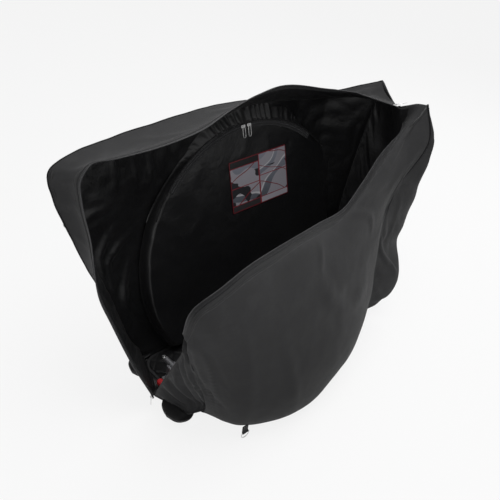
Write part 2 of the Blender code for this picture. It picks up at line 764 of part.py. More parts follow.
def caster_plate(name, x, y):
    """The plate under the board, with a hole for the fork's kingpin."""
    bottom = PLATE_TOP - PLATE_THICKNESS
    half_x, half_y = PLATE_LENGTH / 2, PLATE_WIDTH / 2
    plate = box(name + "_caster_plate", (x - half_x, y - half_y, bottom), (x + half_x, y + half_y, PLATE_TOP),
                steel(), bevel=PLATE_THICKNESS / 5)
    hole = cylinder(name + "_plate_hole", (x, y, bottom - CUT_OVERRUN), (x, y, PLATE_TOP + CUT_OVERRUN),
                    KINGPIN_RADIUS + RUNNING_GAP, None, 16, cutters)
    boolean(plate, hole, "DIFFERENCE")


def caster_fork(name, x, y):
    """Crown, kingpin and two legs in one piece, turning about the kingpin."""
    crown_bottom = CROWN_TOP - CROWN_THICKNESS
    fork = cylinder(name + "_caster_fork", (x, y, crown_bottom), (x, y, CROWN_TOP), CROWN_RADIUS,
                    black_plastic(), 20)
    pin = cylinder(name + "_kingpin", (x, y, crown_bottom + CROWN_THICKNESS / 2),
                   (x, y, PLATE_TOP - RUNNING_GAP), KINGPIN_RADIUS, None, 16, cutters)
    boolean(fork, pin, "UNION")
    axle_x, axle_z = x + CASTER_TRAIL, WHEEL_DIAMETER / 2
    inner = WHEEL_WIDTH / 2 + RUNNING_GAP
    foot, head = axle_z - FORK_LEG_WIDTH / 2, CROWN_TOP - CROWN_THICKNESS / 2
    for side in (-1, 1):
        ends = sorted((y + side * inner, y + side * (inner + FORK_LEG_THICKNESS)))
        leg = box(f"{name}_leg_{side}", (axle_x - FORK_LEG_WIDTH, ends[0], foot),
                  (axle_x + FORK_LEG_WIDTH / 2, ends[1], head), None, group=cutters)
        boolean(fork, leg, "UNION")
    bore = cylinder(name + "_fork_bore", (axle_x, y - WHEEL_WIDTH, axle_z), (axle_x, y + WHEEL_WIDTH, axle_z),
                    WHEEL_BORE_RADIUS, None, 12, cutters)
    boolean(fork, bore, "DIFFERENCE")
    return fork


def caster_wheel(name, x, y):
    """A wheel with a crowned tread and a hub, and the axle it turns on."""
    radius, half = WHEEL_DIAMETER / 2, WHEEL_WIDTH / 2
    hub_radius = radius * WHEEL_HUB_SHARE
    rim = radius - 2 * WHEEL_CROWN
    dish = hub_radius * WHEEL_DISH_SHARES[0]
    web = half * WHEEL_DISH_SHARES[1]
    outer_side = [(radius - WHEEL_CROWN, half), (radius, half - WHEEL_CROWN)]
    inner_side = [(WHEEL_BORE_RADIUS, half), (hub_radius, half), (dish, web), (rim, half)]
    profile = outer_side + [(r, -h) for r, h in outer_side[::-1] + inner_side[::-1]] + inner_side
    wheel = turned(name + "_caster_wheel", profile, rubber(), 24)
    wheel.location = (x + CASTER_TRAIL, y, radius)
    wheel.rotation_euler = (math.radians(90), 0, 0)
    reach = half + RUNNING_GAP + FORK_LEG_THICKNESS
    axle_x = x + CASTER_TRAIL
    axle = cylinder(name + "_caster_axle", (axle_x, y - reach, radius), (axle_x, y + reach, radius),
                    WHEEL_BORE_RADIUS - SEAT_GAP, steel(), 12)
    return wheel, axle


def casters():
    for name, (x, y) in caster_places().items():
        caster_plate(name, x, y)
        turning = [caster_fork(name, x, y), *caster_wheel(name, x, y)]
        pivot(name + "_caster_swivel", (x, y, CROWN_TOP), turning)


# Keel with its axle mounts

def keel():
    """The beam on the mat, its moulded end caps and the bolts that hold it down."""
    half = KEEL_WIDTH / 2
    box("keel", (KEEL_FRONT, -half, KEEL_BOTTOM), (KEEL_REAR, half, KEEL_TOP), aluminium(),
        bevel=KEEL_HEIGHT / 8)
    front_end = KEEL_FRONT - SEAT_GAP
    rear_start = KEEL_REAR + SEAT_GAP
    caps = {"keel_cap_front": (front_end - KEEL_CAP_LENGTH, front_end),
            "keel_cap_rear": (rear_start, rear_start + KEEL_CAP_LENGTH)}
    for name, (start, end) in caps.items():
        box(name, (start, -half, KEEL_BOTTOM), (end, half, KEEL_TOP), red_plastic(), bevel=KEEL_HEIGHT / 5)
    seat_z = KEEL_TOP + SEAT_GAP
    for name, share in KEEL_BOLT_SHARES.items():
        x = KEEL_FRONT + share * (KEEL_REAR - KEEL_FRONT)
        cylinder(name, (x, 0, seat_z), (x, 0, seat_z + BOLT_HEIGHT), BOLT_RADIUS, steel(), 6)


def hub(name, x, height, length, radius, finish, pedestal_bottom):
    """A hub along Y on a pedestal, bored for its axle."""
    body = cylinder(name, (x, -length / 2, height), (x, length / 2, height), radius, finish, 24)
    post = box(name + "_post", (x - PEDESTAL_LENGTH / 2, -KEEL_WIDTH / 2, pedestal_bottom),
               (x + PEDESTAL_LENGTH / 2, KEEL_WIDTH / 2, height), None, group=cutters)
    boolean(body, post, "UNION")
    bore = cylinder(name + "_bore", (x, -length, height), (x, length, height), AXLE_RADIUS + SEAT_GAP,
                    None, 16, cutters)
    boolean(body, bore, "DIFFERENCE")
    return body


def carriage_saddle(body, x):
    """Joins a saddle that runs on the keel to the rear hub."""
    inner = KEEL_WIDTH / 2 + RUNNING_GAP
    outer = inner + CARRIAGE_WALL
    bottom = MAT_TOP + RUNNING_GAP
    top = KEEL_TOP + RUNNING_GAP + CARRIAGE_WALL
    half = CARRIAGE_LENGTH / 2
    block = box(body.name + "_saddle", (x - half, -outer, bottom), (x + half, outer, top), None,
                group=cutters)
    slot = box(body.name + "_slot", (x - CARRIAGE_LENGTH, -inner, bottom - CUT_OVERRUN),
               (x + CARRIAGE_LENGTH, inner, KEEL_TOP + RUNNING_GAP), None, group=cutters)
    boolean(body, block, "UNION")
    boolean(body, slot, "DIFFERENCE")


def quick_release(name, x, height, hub_length):
    """A skewer through the hub with a nut at the far end and a lever at the near end."""
    reach = hub_length / 2 + AXLE_OVERHANG
    axle = cylinder(name + "_axle", (x, -reach, height), (x, reach, height), AXLE_RADIUS, steel(), 16)
    nut = cylinder(name + "_nut", (x, reach - NUT_LENGTH, height), (x, reach, height), NUT_RADIUS, None, 12,
                   cutters)
    boolean(axle, nut, "UNION")
    start = -reach - SEAT_GAP
    lever = cylinder(name + "_lever", (x, start, height), (x, start - LEVER_THICKNESS, height),
                     NUT_RADIUS, aluminium(), 16)
    arm = box(name + "_lever_arm", (x - LEVER_WIDTH / 2, start - LEVER_THICKNESS, height),
              (x + LEVER_WIDTH / 2, start, height + LEVER_LENGTH), None, group=cutters)
    boolean(lever, arm, "UNION")
    return axle, lever


def axle_mounts():
    hub("fork_mount", FORK_MOUNT_X, FRONT_HUB_HEIGHT, FRONT_HUB_LENGTH, FRONT_HUB_RADIUS, aluminium(),
        KEEL_TOP + SEAT_GAP)
    quick_release("front", FORK_MOUNT_X, FRONT_HUB_HEIGHT, FRONT_HUB_LENGTH)
    carriage = hub("rear_carriage", REAR_MOUNT_X, REAR_HUB_HEIGHT, REAR_HUB_LENGTH, REAR_HUB_RADIUS,
                   aluminium(), KEEL_TOP + RUNNING_GAP)
    carriage_saddle(carriage, REAR_MOUNT_X)
    for piece in quick_release("rear", REAR_MOUNT_X, REAR_HUB_HEIGHT, REAR_HUB_LENGTH):
        hold(piece, carriage)


# Wheel pockets, seated on the inner faces of the two halves

def pocket(name, wall, seat, centre, right, up, outward, radius, limits, face):
    """A padded panel with a round outline, its back cut to the wall by the wall's own shape, the seat.

    face(share, depth) gives how far in front of the wall's inner face the panel's front lies, from the
    share of the radius and the wall's distance behind the pocket's plane.
    """
    tree = evaluated_tree(wall)
    low_x, high_x, low_z = limits
    fronts, backs = [], []
    for ring in POCKET_RING_SHARES:
        front, back = [], []
        for step in range(POCKET_SIDES):
            angle = 2 * math.pi * step / POCKET_SIDES
            reach = radius
            cos, sin = math.cos(angle), math.sin(angle)
            if cos > 0:
                reach = min(reach, (high_x - centre.x) / cos)
            if cos < 0:
                reach = min(reach, (low_x - centre.x) / cos)
            if sin < 0:
                reach = min(reach, (low_z - centre.z) / (sin * up.z))
            place = centre + (right * cos + up * sin) * reach * ring
            hit = tree.ray_cast(place - outward * CAST_BACK, outward)[0]
            depth = (hit - place).dot(outward)
            back.append(place + outward * (depth + WALL_THICKNESS / 2))
            front.append(place + outward * (depth - face(ring, depth)))
        fronts.append(front)
        backs.append(back)

    def build_pocket(shape):
        sides = []
        for rings in (fronts, backs):
            sides.append([[shape.verts.new(p) for p in ring] for ring in rings])
        for rings in sides:
            for inner, outer in zip(rings, rings[1:]):
                for i in range(POCKET_SIDES):
                    j = (i + 1) % POCKET_SIDES
                    shape.faces.new((inner[i], inner[j], outer[j], outer[i]))
            shape.faces.new(rings[0])
        for i in range(POCKET_SIDES):
            j = (i + 1) % POCKET_SIDES
            shape.faces.new((sides[0][-1][i], sides[0][-1][j], sides[1][-1][j], sides[1][-1][i]))

    panel = add_object(name, mesh_from(build_pocket), lining_fabric())
    boolean(panel, seat, "DIFFERENCE")
    return panel


ARCH_X = ARCH_CENTRE_X_SHARE * LENGTH
PLANE_LOW_Z, PLANE_TOP_Z = (share * HEIGHT for share in POCKET_PLANE_SHARES)
PLANE_LOW_Y = far_wall_y(ARCH_X, PLANE_LOW_Z) - POCKET_DEPTH_LOW
PLANE_TOP_Y = far_wall_y(ARCH_X, PLANE_TOP_Z) - POCKET_DEPTH_TOP
POCKET_LEAN = math.atan2(PLANE_TOP_Y - PLANE_LOW_Y, PLANE_TOP_Z - PLANE_LOW_Z)
POCKET_RIGHT = Vector((1, 0, 0))
POCKET_UP = Vector((0, math.sin(POCKET_LEAN), math.cos(POCKET_LEAN)))
POCKET_OUT = Vector((0, math.cos(POCKET_LEAN), -math.sin(POCKET_LEAN)))
CARD_X, CARD_Z = CARD_CORNER_SHARES[0] * LENGTH, CARD_CORNER_SHARES[1] * HEIGHT
CARD_CORNER = Vector((CARD_X, PLANE_LOW_Y + (CARD_Z - PLANE_LOW_Z) * math.tan(POCKET_LEAN), CARD_Z))
ARCH_CENTRE = CARD_CORNER - POCKET_UP * (ARCH_DROP_SHARE * HEIGHT) + POCKET_RIGHT * (ARCH_X - CARD_X)
POCKET_FOOT = MAT_TOP + MAT_MARGIN + FAR_BULGE * math.sin(POCKET_LEAN)


def far_pocket(wall):
    """The pocket's face is flat, so that the arched zip on it is a true circle."""
    limits = (POCKET_FRONT_SHARE * LENGTH, POCKET_REAR_SHARE * LENGTH, POCKET_FOOT)
    seat = sheet("far_seat", far_grid(), WALL_THICKNESS + SEAT_GAP, None, side=-1)
    pocket("far_pocket", wall, seat, ARCH_CENTRE, POCKET_RIGHT, POCKET_UP, POCKET_OUT, POCKET_RADIUS,
           limits, lambda share, depth: max(depth, POCKET_LEAST))


def near_pocket(wall):
    """The other wheel pocket, a low dome on the inner face of the near half."""
    lean = math.radians(NEAR_POCKET_LEAN_DEG)
    up = Vector((0, -math.sin(lean), math.cos(lean)))
    out = Vector((0, -math.cos(lean), -math.sin(lean)))
    centre = Vector(places([NEAR_POCKET_CENTRE_SHARES])[0])
    limits = (-LENGTH, LENGTH, 0.0)
    seat = sheet("near_seat", near_grid(), WALL_THICKNESS + SEAT_GAP, None, side=1)
    return pocket("near_pocket", wall, seat, centre, POCKET_RIGHT, up, out, NEAR_POCKET_RADIUS, limits,
                  lambda share, depth: POCKET_LEAST + NEAR_POCKET_DEPTH * (1 - share ** 2))


def card():
    """The packing card on the far pocket's face."""
    middle = (CARD_CORNER + POCKET_RIGHT * (CARD_WIDTH / 2) + POCKET_UP * (CARD_HEIGHT / 2)
              - POCKET_OUT * (SEAT_GAP + CARD_THICKNESS / 2))
    half = Vector((CARD_WIDTH, CARD_THICKNESS, CARD_HEIGHT)) / 2
    plate = box("packing_card", -half, half, material("card", (0.6, 0.6, 0.6), 0.35))
    plate.matrix_world = placed(middle, POCKET_RIGHT, POCKET_OUT, POCKET_UP)


def placed(place, x_axis, y_axis, z_axis):
    """The matrix of a place with three axes."""
    turn = Matrix((x_axis, y_axis, z_axis)).transposed().to_4x4()
    turn.translation = place
    return turn


# Zips

HALF_BEAD_SECTION = [(0.0, TAPE_THICKNESS / 2), (TAPE_WIDTH, TAPE_THICKNESS / 2),
                     (TAPE_WIDTH, BEAD_THICKNESS / 2), (TAPE_WIDTH + BEAD_WIDTH, BEAD_THICKNESS / 2)]
BEAD_SECTION = [(a, -b) for a, b in HALF_BEAD_SECTION] + HALF_BEAD_SECTION[::-1]


def zip_side(edge, inner, wall_side, straight):
    """Where a zip's tape starts along a wall's edge, and the direction that it stands out in.

    Over the straight columns at both ends the direction stays the same, so that a slider can run there.
    """
    across = edge - inner
    across /= np.linalg.norm(across, axis=1)[:, None]
    for ends in (slice(0, straight), slice(len(edge) - straight, None)):
        across[ends] = across[ends].sum(axis=0) / max(straight, 1)
    across /= np.linalg.norm(across, axis=1)[:, None]
    inward = np.cross(np.gradient(edge, axis=0), across) * wall_side
    inward /= np.linalg.norm(inward, axis=1)[:, None]
    return edge + across * TAPE_SEAT + inward * WALL_THICKNESS / 2, across, -inward


def main_zips():
    grid = far_grid()
    path, across, _ = zip_side(grid[0], grid[1], FAR_SIDE, STRAIGHT_COLUMNS)
    sweep("main_zip_far", path, across, BEAD_SECTION, webbing())
    near = near_grid()
    path, across, _ = zip_side(near[0], near[1], NEAR_SIDE, 0)
    moving = sweep("main_zip_near", path, across, BEAD_SECTION, webbing())
    fixed = sweep("main_zip_near_rear", path, across, BEAD_SECTION, webbing())
    boolean(moving, split_box("keep_zip_front", True), "INTERSECT")
    boolean(fixed, split_box("keep_zip_rear", False), "INTERSECT")
    return moving


def arch_zip():
    """The pocket's closed zip, an arc of tape, teeth and tape on the pocket's face."""
    start, end = (math.radians(a) for a in ARCH_ENDS_DEG)
    half = [(a - TAPE_WIDTH - BEAD_WIDTH / 2, -b) for a, b in HALF_BEAD_SECTION[:3]]
    section = half + [(-a, b) for a, b in half[::-1]]
    section += [(a, -b) for a, b in section[::-1]]
    path, across = [], []
    for step in range(ARCH_STEPS + 1):
        angle = start + (end - start) * step / ARCH_STEPS
        radial = POCKET_RIGHT * math.sin(angle) + POCKET_UP * math.cos(angle)
        path.append(ARCH_CENTRE + radial * ARCH_RADIUS - POCKET_OUT * (BEAD_THICKNESS / 2 + SEAT_GAP))
        across.append(radial)
    sweep("arch_zip", path, across, section, webbing())


def slider(name, centre, along, across, out, hang, lift=0.0):
    """A slider capping the teeth, its bail, and the wire pull that hangs in the bail."""
    groove = BEAD_WIDTH / 2 + RUNNING_GAP
    half_width = groove + SLIDER_WALL
    bottom = TAPE_THICKNESS / 2 + RUNNING_GAP
    groove_top = BEAD_THICKNESS / 2 + RUNNING_GAP
    top = groove_top + SLIDER_WALL
    half_length = SLIDER_LENGTH / 2
    body = box(name + "_slider", (-half_length, -half_width, bottom), (half_length, half_width, top),
               steel())
    cut = box(name + "_groove", (-SLIDER_LENGTH, -groove, bottom - CUT_OVERRUN),
              (SLIDER_LENGTH, groove, groove_top), None, group=cutters)
    side = out.cross(hang)
    half_bail, half_eye = BAIL_LENGTH / 2, BAIL_LENGTH / 2 - BAIL_WALL
    bail = box(name + "_bail", (-half_bail, -BAIL_WIDTH / 2, top - SLIDER_WALL / 2),
               (half_bail, BAIL_WIDTH / 2, top + BAIL_HEIGHT), None, group=cutters)
    eye = box(name + "_eye", (-half_eye, -BAIL_WIDTH, top),
              (half_eye, BAIL_WIDTH, top + BAIL_HEIGHT - BAIL_WALL), None, group=cutters)
    straight, hung = placed(centre, along, across, out), placed(centre, hang, side, out)
    for thing, matrix in ((body, straight), (cut, straight), (bail, hung), (eye, hung)):
        thing.matrix_world = matrix @ Matrix.Translation(thing.location)
    boolean(body, cut, "DIFFERENCE")
    boolean(body, bail, "UNION")
    boolean(body, eye, "DIFFERENCE")
    pull = ring_wire(name + "_pull", pull_outline(), PULL_WIRE)
    tip = hanging(hang, out, lift)
    bar = hung @ Vector((0, 0, top + (BAIL_HEIGHT - BAIL_WALL) / 2))
    pull.matrix_world = placed(bar, tip, side, tip.cross(side))
    hold(pull, body)
    return body


def hanging(hang, out, least=0.0):
    """The direction a loose loop takes from its hinge: plumb, but never nearer the wall than its rest."""
    lift = max(math.atan2(-out.z, -hang.z), least)
    return hang * math.cos(lift) + out * math.sin(lift)


def pull_outline():
    """A long loop with its far corners cut, hung by its near side."""
    half, corner = PULL_WIDTH / 2, PULL_WIDTH / 4
    shoulder = PULL_LENGTH - corner
    return [(0, -half), (0, half), (shoulder, half), (PULL_LENGTH, corner), (PULL_LENGTH, -corner),
            (shoulder, -half)]


def ring_wire(name, outline, radius):
    """A closed loop of wire in its own flat plane, as a mesh with its origin on the side it hangs by."""
    return wire(name, [(x, y, 0) for x, y in outline], radius, steel(), closed=True)


def hold(thing, parent):
    """Parent a thing where it stands."""
    bpy.context.view_layer.update()
    thing.parent = parent
    thing.matrix_parent_inverse = parent.matrix_world.inverted()


def pivot(name, place, carried):
    """An empty on a joint's axis that carries the pieces turning about it."""
    empty = bpy.data.objects.new(name, None)
    empty.empty_display_size = RING_WIDTH
    empty.location = place
    part.objects.link(empty)
    for thing in carried:
        hold(thing, empty)
    return empty


def vector(array):
    return Vector([float(v) for v in array])


def zip_sliders():
    """The main zip's two sliders at its ends and the pocket's two at the top of the arch."""
    grid = far_grid()
    path, across, out = zip_side(grid[0], grid[1], FAR_SIDE, STRAIGHT_COLUMNS)
    bead = TAPE_WIDTH + BEAD_WIDTH / 2
    ends = (("front_zip", 0, 1, FRONT_SLIDER_START, 0.0),
            ("rear_zip", -1, -2, REAR_SLIDER_START, REAR_PULL_LIFT))
    for name, first, second, start, lift in ends:
        along = vector(path[second] - path[first]).normalized()
        wide = vector(across[first])
        wide = (wide - along * wide.dot(along)).normalized()
        face = along.cross(wide)
        if face.dot(vector(out[first])) < 0:
            face = -face
        centre = vector(path[first] + across[first] * bead) + along * (start + SLIDER_LENGTH / 2)
        slider(name, centre, along, wide, face, -along, lift)
    for name, side in (("arch_front", -1), ("arch_rear", 1)):
        angle = side * ARCH_SLIDER_SPACING / 2 / ARCH_RADIUS
        radial = POCKET_RIGHT * math.sin(angle) + POCKET_UP * math.cos(angle)
        tangent = POCKET_RIGHT * math.cos(angle) - POCKET_UP * math.sin(angle)
        centre = ARCH_CENTRE + radial * ARCH_RADIUS - POCKET_OUT * (BEAD_THICKNESS / 2 + SEAT_GAP)
        body = slider(name, centre, tangent, radial, -POCKET_OUT, -radial)
        pivot(name + "_centre", ARCH_CENTRE, [body])


# Webbing tabs with rings, and the rear handle

def seat(things, tree, toward):
    """Move things towards a wall until the first of them stands SEAT_GAP off it."""
    for _ in range(SEAT_STEPS):
        bpy.context.view_layer.update()
        matrix = things[0].matrix_world
        room = min(tree.find_nearest(matrix @ v.co)[3] for v in things[0].data.vertices)
        for thing in things:
            thing.matrix_world = Matrix.Translation(toward * (room - SEAT_GAP)) @ thing.matrix_world


def seat_on(tree, place, out, hang, side, reach):
    """How far a flat strap must stand off along out so that it clears the wall under it."""
    most = -CAST_BACK
    for along in np.linspace(0.0, reach, 7):
        for wide in (-RING_WIDTH / 2, 0.0, RING_WIDTH / 2):
            start = place + hang * float(along) + side * wide + out * CAST_BACK
            hit = tree.ray_cast(start, -out, 2 * CAST_BACK)[0]
            if hit:
                most = max(most, (hit - place).dot(out))
    return most


def tab_and_ring(name, wall, outside_shares, toward, flat):
    """A folded webbing tab sewn to a wall, with a ring in its fold: flat on it or hanging plumb."""
    tree = evaluated_tree(wall)
    toward = Vector(toward).normalized()
    hit, normal, _, _ = tree.ray_cast(Vector(places([outside_shares])[0]), toward)
    out = -toward
    if flat:
        out = normal if normal.dot(toward) < 0 else -normal
    down = Vector((0, 0, -1))
    hang = (down - out * out.dot(down)).normalized()
    side = out.cross(hang)
    low = seat_on(tree, hit, out, hang, side, TAB_LENGTH + RING_DEPTH) + SEAT_GAP + WEBBING_THICKNESS / 2
    eye = RING_WIRE + RUNNING_GAP + WEBBING_THICKNESS / 2
    upper = low + WEBBING_THICKNESS + SEAT_GAP
    turns = [math.radians(a) for a in range(-90, 91, 30)]
    path = [(0, low), (TAB_LENGTH - 2 * eye, low)]
    path += [(TAB_LENGTH + eye * math.cos(a), low + eye + eye * math.sin(a)) for a in turns]
    path += [(TAB_LENGTH - 2 * eye, upper), (0, upper)]
    points = [hit + hang * x + out * y for x, y in path]
    tab = sweep(name + "_tab", points, side, flat_section(WEBBING_WIDTH, WEBBING_THICKNESS), webbing())
    half = RING_WIDTH / 2
    bow = [(RING_DEPTH - half + half * math.cos(a), half * math.sin(a)) for a in
           (math.radians(d) for d in (60, 30, 0, -30, -60))]
    ring = ring_wire(name + "_ring", [(0, -half), (0, half), (RING_DEPTH - half, half)] + bow
                     + [(RING_DEPTH - half, -half)], RING_WIRE)
    tip = hanging(hang, out)
    ring.matrix_world = placed(hit + hang * TAB_LENGTH + out * (low + eye), tip, side, tip.cross(side))
    seat([tab, ring], tree, -out)
    return tab, ring


def rear_handle(wall):
    """A bowed grab handle across the rear end."""
    tree = evaluated_tree(wall)
    height = HANDLE_HEIGHT_SHARE * HEIGHT
    rows = []
    for share in HANDLE_BOW_SHARES:
        y = (share - 0.5) * HANDLE_SPAN
        hit = tree.ray_cast(Vector((2 * LENGTH, y, height)), Vector((-1, 0, 0)))[0]
        bow = HANDLE_DROP * math.sin(math.pi * share)
        rows.append((hit.x + HANDLE_SEAT + bow, y, height))
    section = flat_section(HANDLE_WIDTH, HANDLE_THICKNESS)
    strap = sweep("rear_handle", rows, (0, 0, 1), section, webbing())
    seat([strap], tree, Vector((-1, 0, 0)))


def rings(walls):
    """The three tabs with their rings; the pieces on each wall are returned by name."""
    return {name: tab_and_ring(name, walls[name], *aim) for name, aim in RING_AIM_SHARES.items()}


def stand_on_origin():
    """Move everything so that the origin lies under the middle of the bag's bounding box."""
    bpy.context.view_layer.update()
    graph = bpy.context.evaluated_depsgraph_get()
    corners = []
    for thing in part.objects:
        if thing.type != "EMPTY":
            made = thing.evaluated_get(graph)
            mesh = made.to_mesh()
            corners += [made.matrix_world @ v.co for v in mesh.vertices]
            made.to_mesh_clear()
    corners = np.array(corners)
    low, high = corners.min(axis=0), corners.max(axis=0)
    loose = [thing for group in (part, cutters) for thing in group.objects if not thing.parent]
    root = pivot("bag_origin", (0, 0, 0), loose)
    root.location = (-(low[0] + high[0]) / 2, -(low[1] + high[1]) / 2, -low[2])


def build():
    clear_scene()
    base_board()
    hem()
    corner_boot("near_corner_boot", BOOT_CENTRE_X, -BOOT_CENTRE_NEAR)
    corner_boot("far_corner_boot", BOARD_FRONT, BOOT_CENTRE_FAR)
    casters()
    keel()
    axle_mounts()
    far = far_shell()
    near = near_half()
    near_front_gusset()
    rear = rear_end()
    far_pocket(far)
    pocket_near = near_pocket(near)
    card()
    zip_near = main_zips()
    arch_zip()
    zip_sliders()
    loops = rings({"rear_near": rear, "near_bottom": near, "far_front": far})
    rear_handle(rear)
    swing = (LENGTH / 2, HINGE_Y, HINGE_Z)
    pivot("near_side_hinge", swing, [near, pocket_near, zip_near, *loops["near_bottom"]])
    stand_on_origin()


build()
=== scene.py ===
"""Soft bike travel bag: fabric walls, zips, wheel pockets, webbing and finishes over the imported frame.

Axes: X runs from the front gusset to the rear end, Y from the near half to the far half, Z up.
The walls' outlines are shares of the bag's length, width and height, counted from the front of the
base board, the line of the main zip and the floor.
"""
import math

import bmesh
import bpy
import numpy as np
from bpy.props import FloatProperty, FloatVectorProperty, PointerProperty
from mathutils import Matrix, Vector, noise
from mathutils.bvhtree import BVHTree


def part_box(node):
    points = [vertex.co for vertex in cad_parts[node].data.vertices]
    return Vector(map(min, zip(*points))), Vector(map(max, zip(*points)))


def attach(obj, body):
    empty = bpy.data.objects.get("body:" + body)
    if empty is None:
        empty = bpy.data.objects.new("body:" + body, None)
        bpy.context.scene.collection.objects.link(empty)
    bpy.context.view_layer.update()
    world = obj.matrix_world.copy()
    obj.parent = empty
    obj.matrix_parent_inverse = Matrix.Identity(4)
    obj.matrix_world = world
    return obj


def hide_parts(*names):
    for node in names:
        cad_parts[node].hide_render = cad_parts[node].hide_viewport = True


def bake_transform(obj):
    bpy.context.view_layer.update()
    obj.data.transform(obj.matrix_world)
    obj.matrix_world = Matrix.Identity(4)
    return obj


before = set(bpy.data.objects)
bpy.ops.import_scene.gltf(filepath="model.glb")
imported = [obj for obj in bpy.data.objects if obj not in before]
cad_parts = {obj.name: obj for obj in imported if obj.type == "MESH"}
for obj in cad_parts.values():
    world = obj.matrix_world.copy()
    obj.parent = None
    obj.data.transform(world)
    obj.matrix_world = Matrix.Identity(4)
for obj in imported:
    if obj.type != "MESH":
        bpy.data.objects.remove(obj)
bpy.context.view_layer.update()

bl_info = {
    "name": "Soft bike travel bag",
    "version": (1, 0, 0),
    "blender": (4, 5, 0),
    "location": "View3D > Sidebar > Bag",
    "description": "Builds the cloth, zips and finishes of a soft travel bag",
    "category": "Add Mesh",
}

# Where the bag stands in the shared frame: its board's front end is BOARD_FRONT behind the bag's own zero
BOARD_FRONT = 0.030
BOARD_NEAR = 0.135
BOARD_CORNER = 0.060
BOARD_LOW, BOARD_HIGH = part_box("base_board")
SHIFT = np.array([BOARD_LOW.x - BOARD_FRONT, BOARD_LOW.y + BOARD_NEAR, 0.0])

# Outlines of the soft walls, in shares of the bag's length, width and height
FAR_TOP_SHARES = [
    (-0.216, 0.500, 0.924), (-0.190, 0.505, 0.940), (-0.070, 0.515, 0.962), (0.143, 0.540, 0.966),
    (0.333, 0.570, 0.962), (0.515, 0.590, 0.948), (0.667, 0.590, 0.925), (0.833, 0.565, 0.905),
    (0.938, 0.490, 0.912), (1.026, 0.330, 0.951), (1.077, 0.220, 0.978),
]
FAR_FRONT_SHARES = [
    (0.017, 0.304, 0.110), (-0.050, 0.380, 0.330), (-0.126, 0.460, 0.549), (-0.194, 0.500, 0.769),
    (-0.216, 0.500, 0.890), (-0.216, 0.500, 0.924),
]
FAR_ZIP_FRONT_SHARES = [
    (-0.018, 0.008, 0.066), (-0.048, 0.034, 0.148), (-0.078, 0.060, 0.231), (-0.126, 0.160, 0.423),
    (-0.154, 0.200, 0.541), (-0.152, 0.280, 0.714), (-0.166, 0.300, 0.823), (-0.176, 0.300, 0.929),
]
FAR_ZIP_TOP_SHARES = [
    (-0.176, 0.300, 0.929), (-0.131, 0.300, 0.969), (-0.073, 0.260, 0.978), (0.083, 0.260, 0.974),
    (0.248, 0.300, 0.974), (0.389, 0.360, 0.991), (0.521, 0.400, 1.002), (0.672, 0.420, 0.998),
    (0.859, 0.340, 0.960), (0.968, 0.200, 0.957), (1.022, 0.100, 0.945), (1.038, 0.008, 0.926),
]
NEAR_SHARES = [
    [(-0.052, -0.360, 0.515), (-0.047, -0.440, 0.643), (0.036, -0.460, 0.686),
     (0.143, -0.440, 0.710), (0.290, -0.400, 0.710), (0.483, -0.340, 0.698), (0.629, -0.300, 0.693),
     (0.746, -0.240, 0.737), (0.838, -0.200, 0.796), (0.949, -0.140, 0.831), (1.026, -0.090, 0.854),
     (1.062, -0.040, 0.879), (1.042, -0.008, 0.926)],
    [(-0.057, -0.400, 0.516), (-0.031, -0.480, 0.659), (0.281, -0.440, 0.709),
     (0.604, -0.340, 0.692), (0.833, -0.240, 0.791), (0.985, -0.175, 0.895), (1.071, -0.186, 0.966)],
    [(-0.052, -0.400, 0.473), (0.000, -0.520, 0.615), (0.281, -0.490, 0.670),
     (0.604, -0.400, 0.659), (0.833, -0.300, 0.725), (0.955, -0.262, 0.768), (1.063, -0.258, 0.800)],
    [(-0.037, -0.400, 0.424), (0.042, -0.555, 0.517), (0.292, -0.560, 0.566),
     (0.594, -0.475, 0.566), (0.823, -0.340, 0.605), (0.965, -0.240, 0.670)],
    [(-0.021, -0.400, 0.374), (0.083, -0.580, 0.418), (0.302, -0.620, 0.462),
     (0.583, -0.540, 0.473), (0.813, -0.380, 0.495), (0.917, -0.240, 0.462)],
    [(0.036, -0.390, 0.187), (0.135, -0.605, 0.176), (0.344, -0.690, 0.187), (0.638, -0.600, 0.198),
     (0.846, -0.385, 0.220), (0.922, -0.270, 0.220)],
    [(0.062, -0.330, 0.082), (0.148, -0.512, 0.044), (0.352, -0.634, 0.034), (0.674, -0.502, 0.044),
     (0.864, -0.326, 0.066), (0.917, -0.295, 0.080)],
]
CREASE_SHARES = [
    (0.021, -0.280, 0.079), (0.088, -0.360, 0.109), (0.028, -0.400, 0.245),
    (-0.021, -0.400, 0.396), (-0.052, -0.360, 0.515),
]
GUSSET_ZIP_SHARES = [
    (-0.018, -0.008, 0.066), (-0.026, -0.100, 0.177), (-0.024, -0.200, 0.300),
    (-0.029, -0.300, 0.420), (-0.052, -0.360, 0.515),
]
PIPING_SHARES = [
    (0.922, -0.280, 0.075), (0.926, -0.270, 0.231), (0.916, -0.240, 0.432), (0.926, -0.240, 0.514),
    (0.965, -0.240, 0.670), (1.024, -0.240, 0.722), (1.067, -0.260, 0.796), (1.074, -0.262, 0.860),
    (1.071, -0.186, 0.966),
]
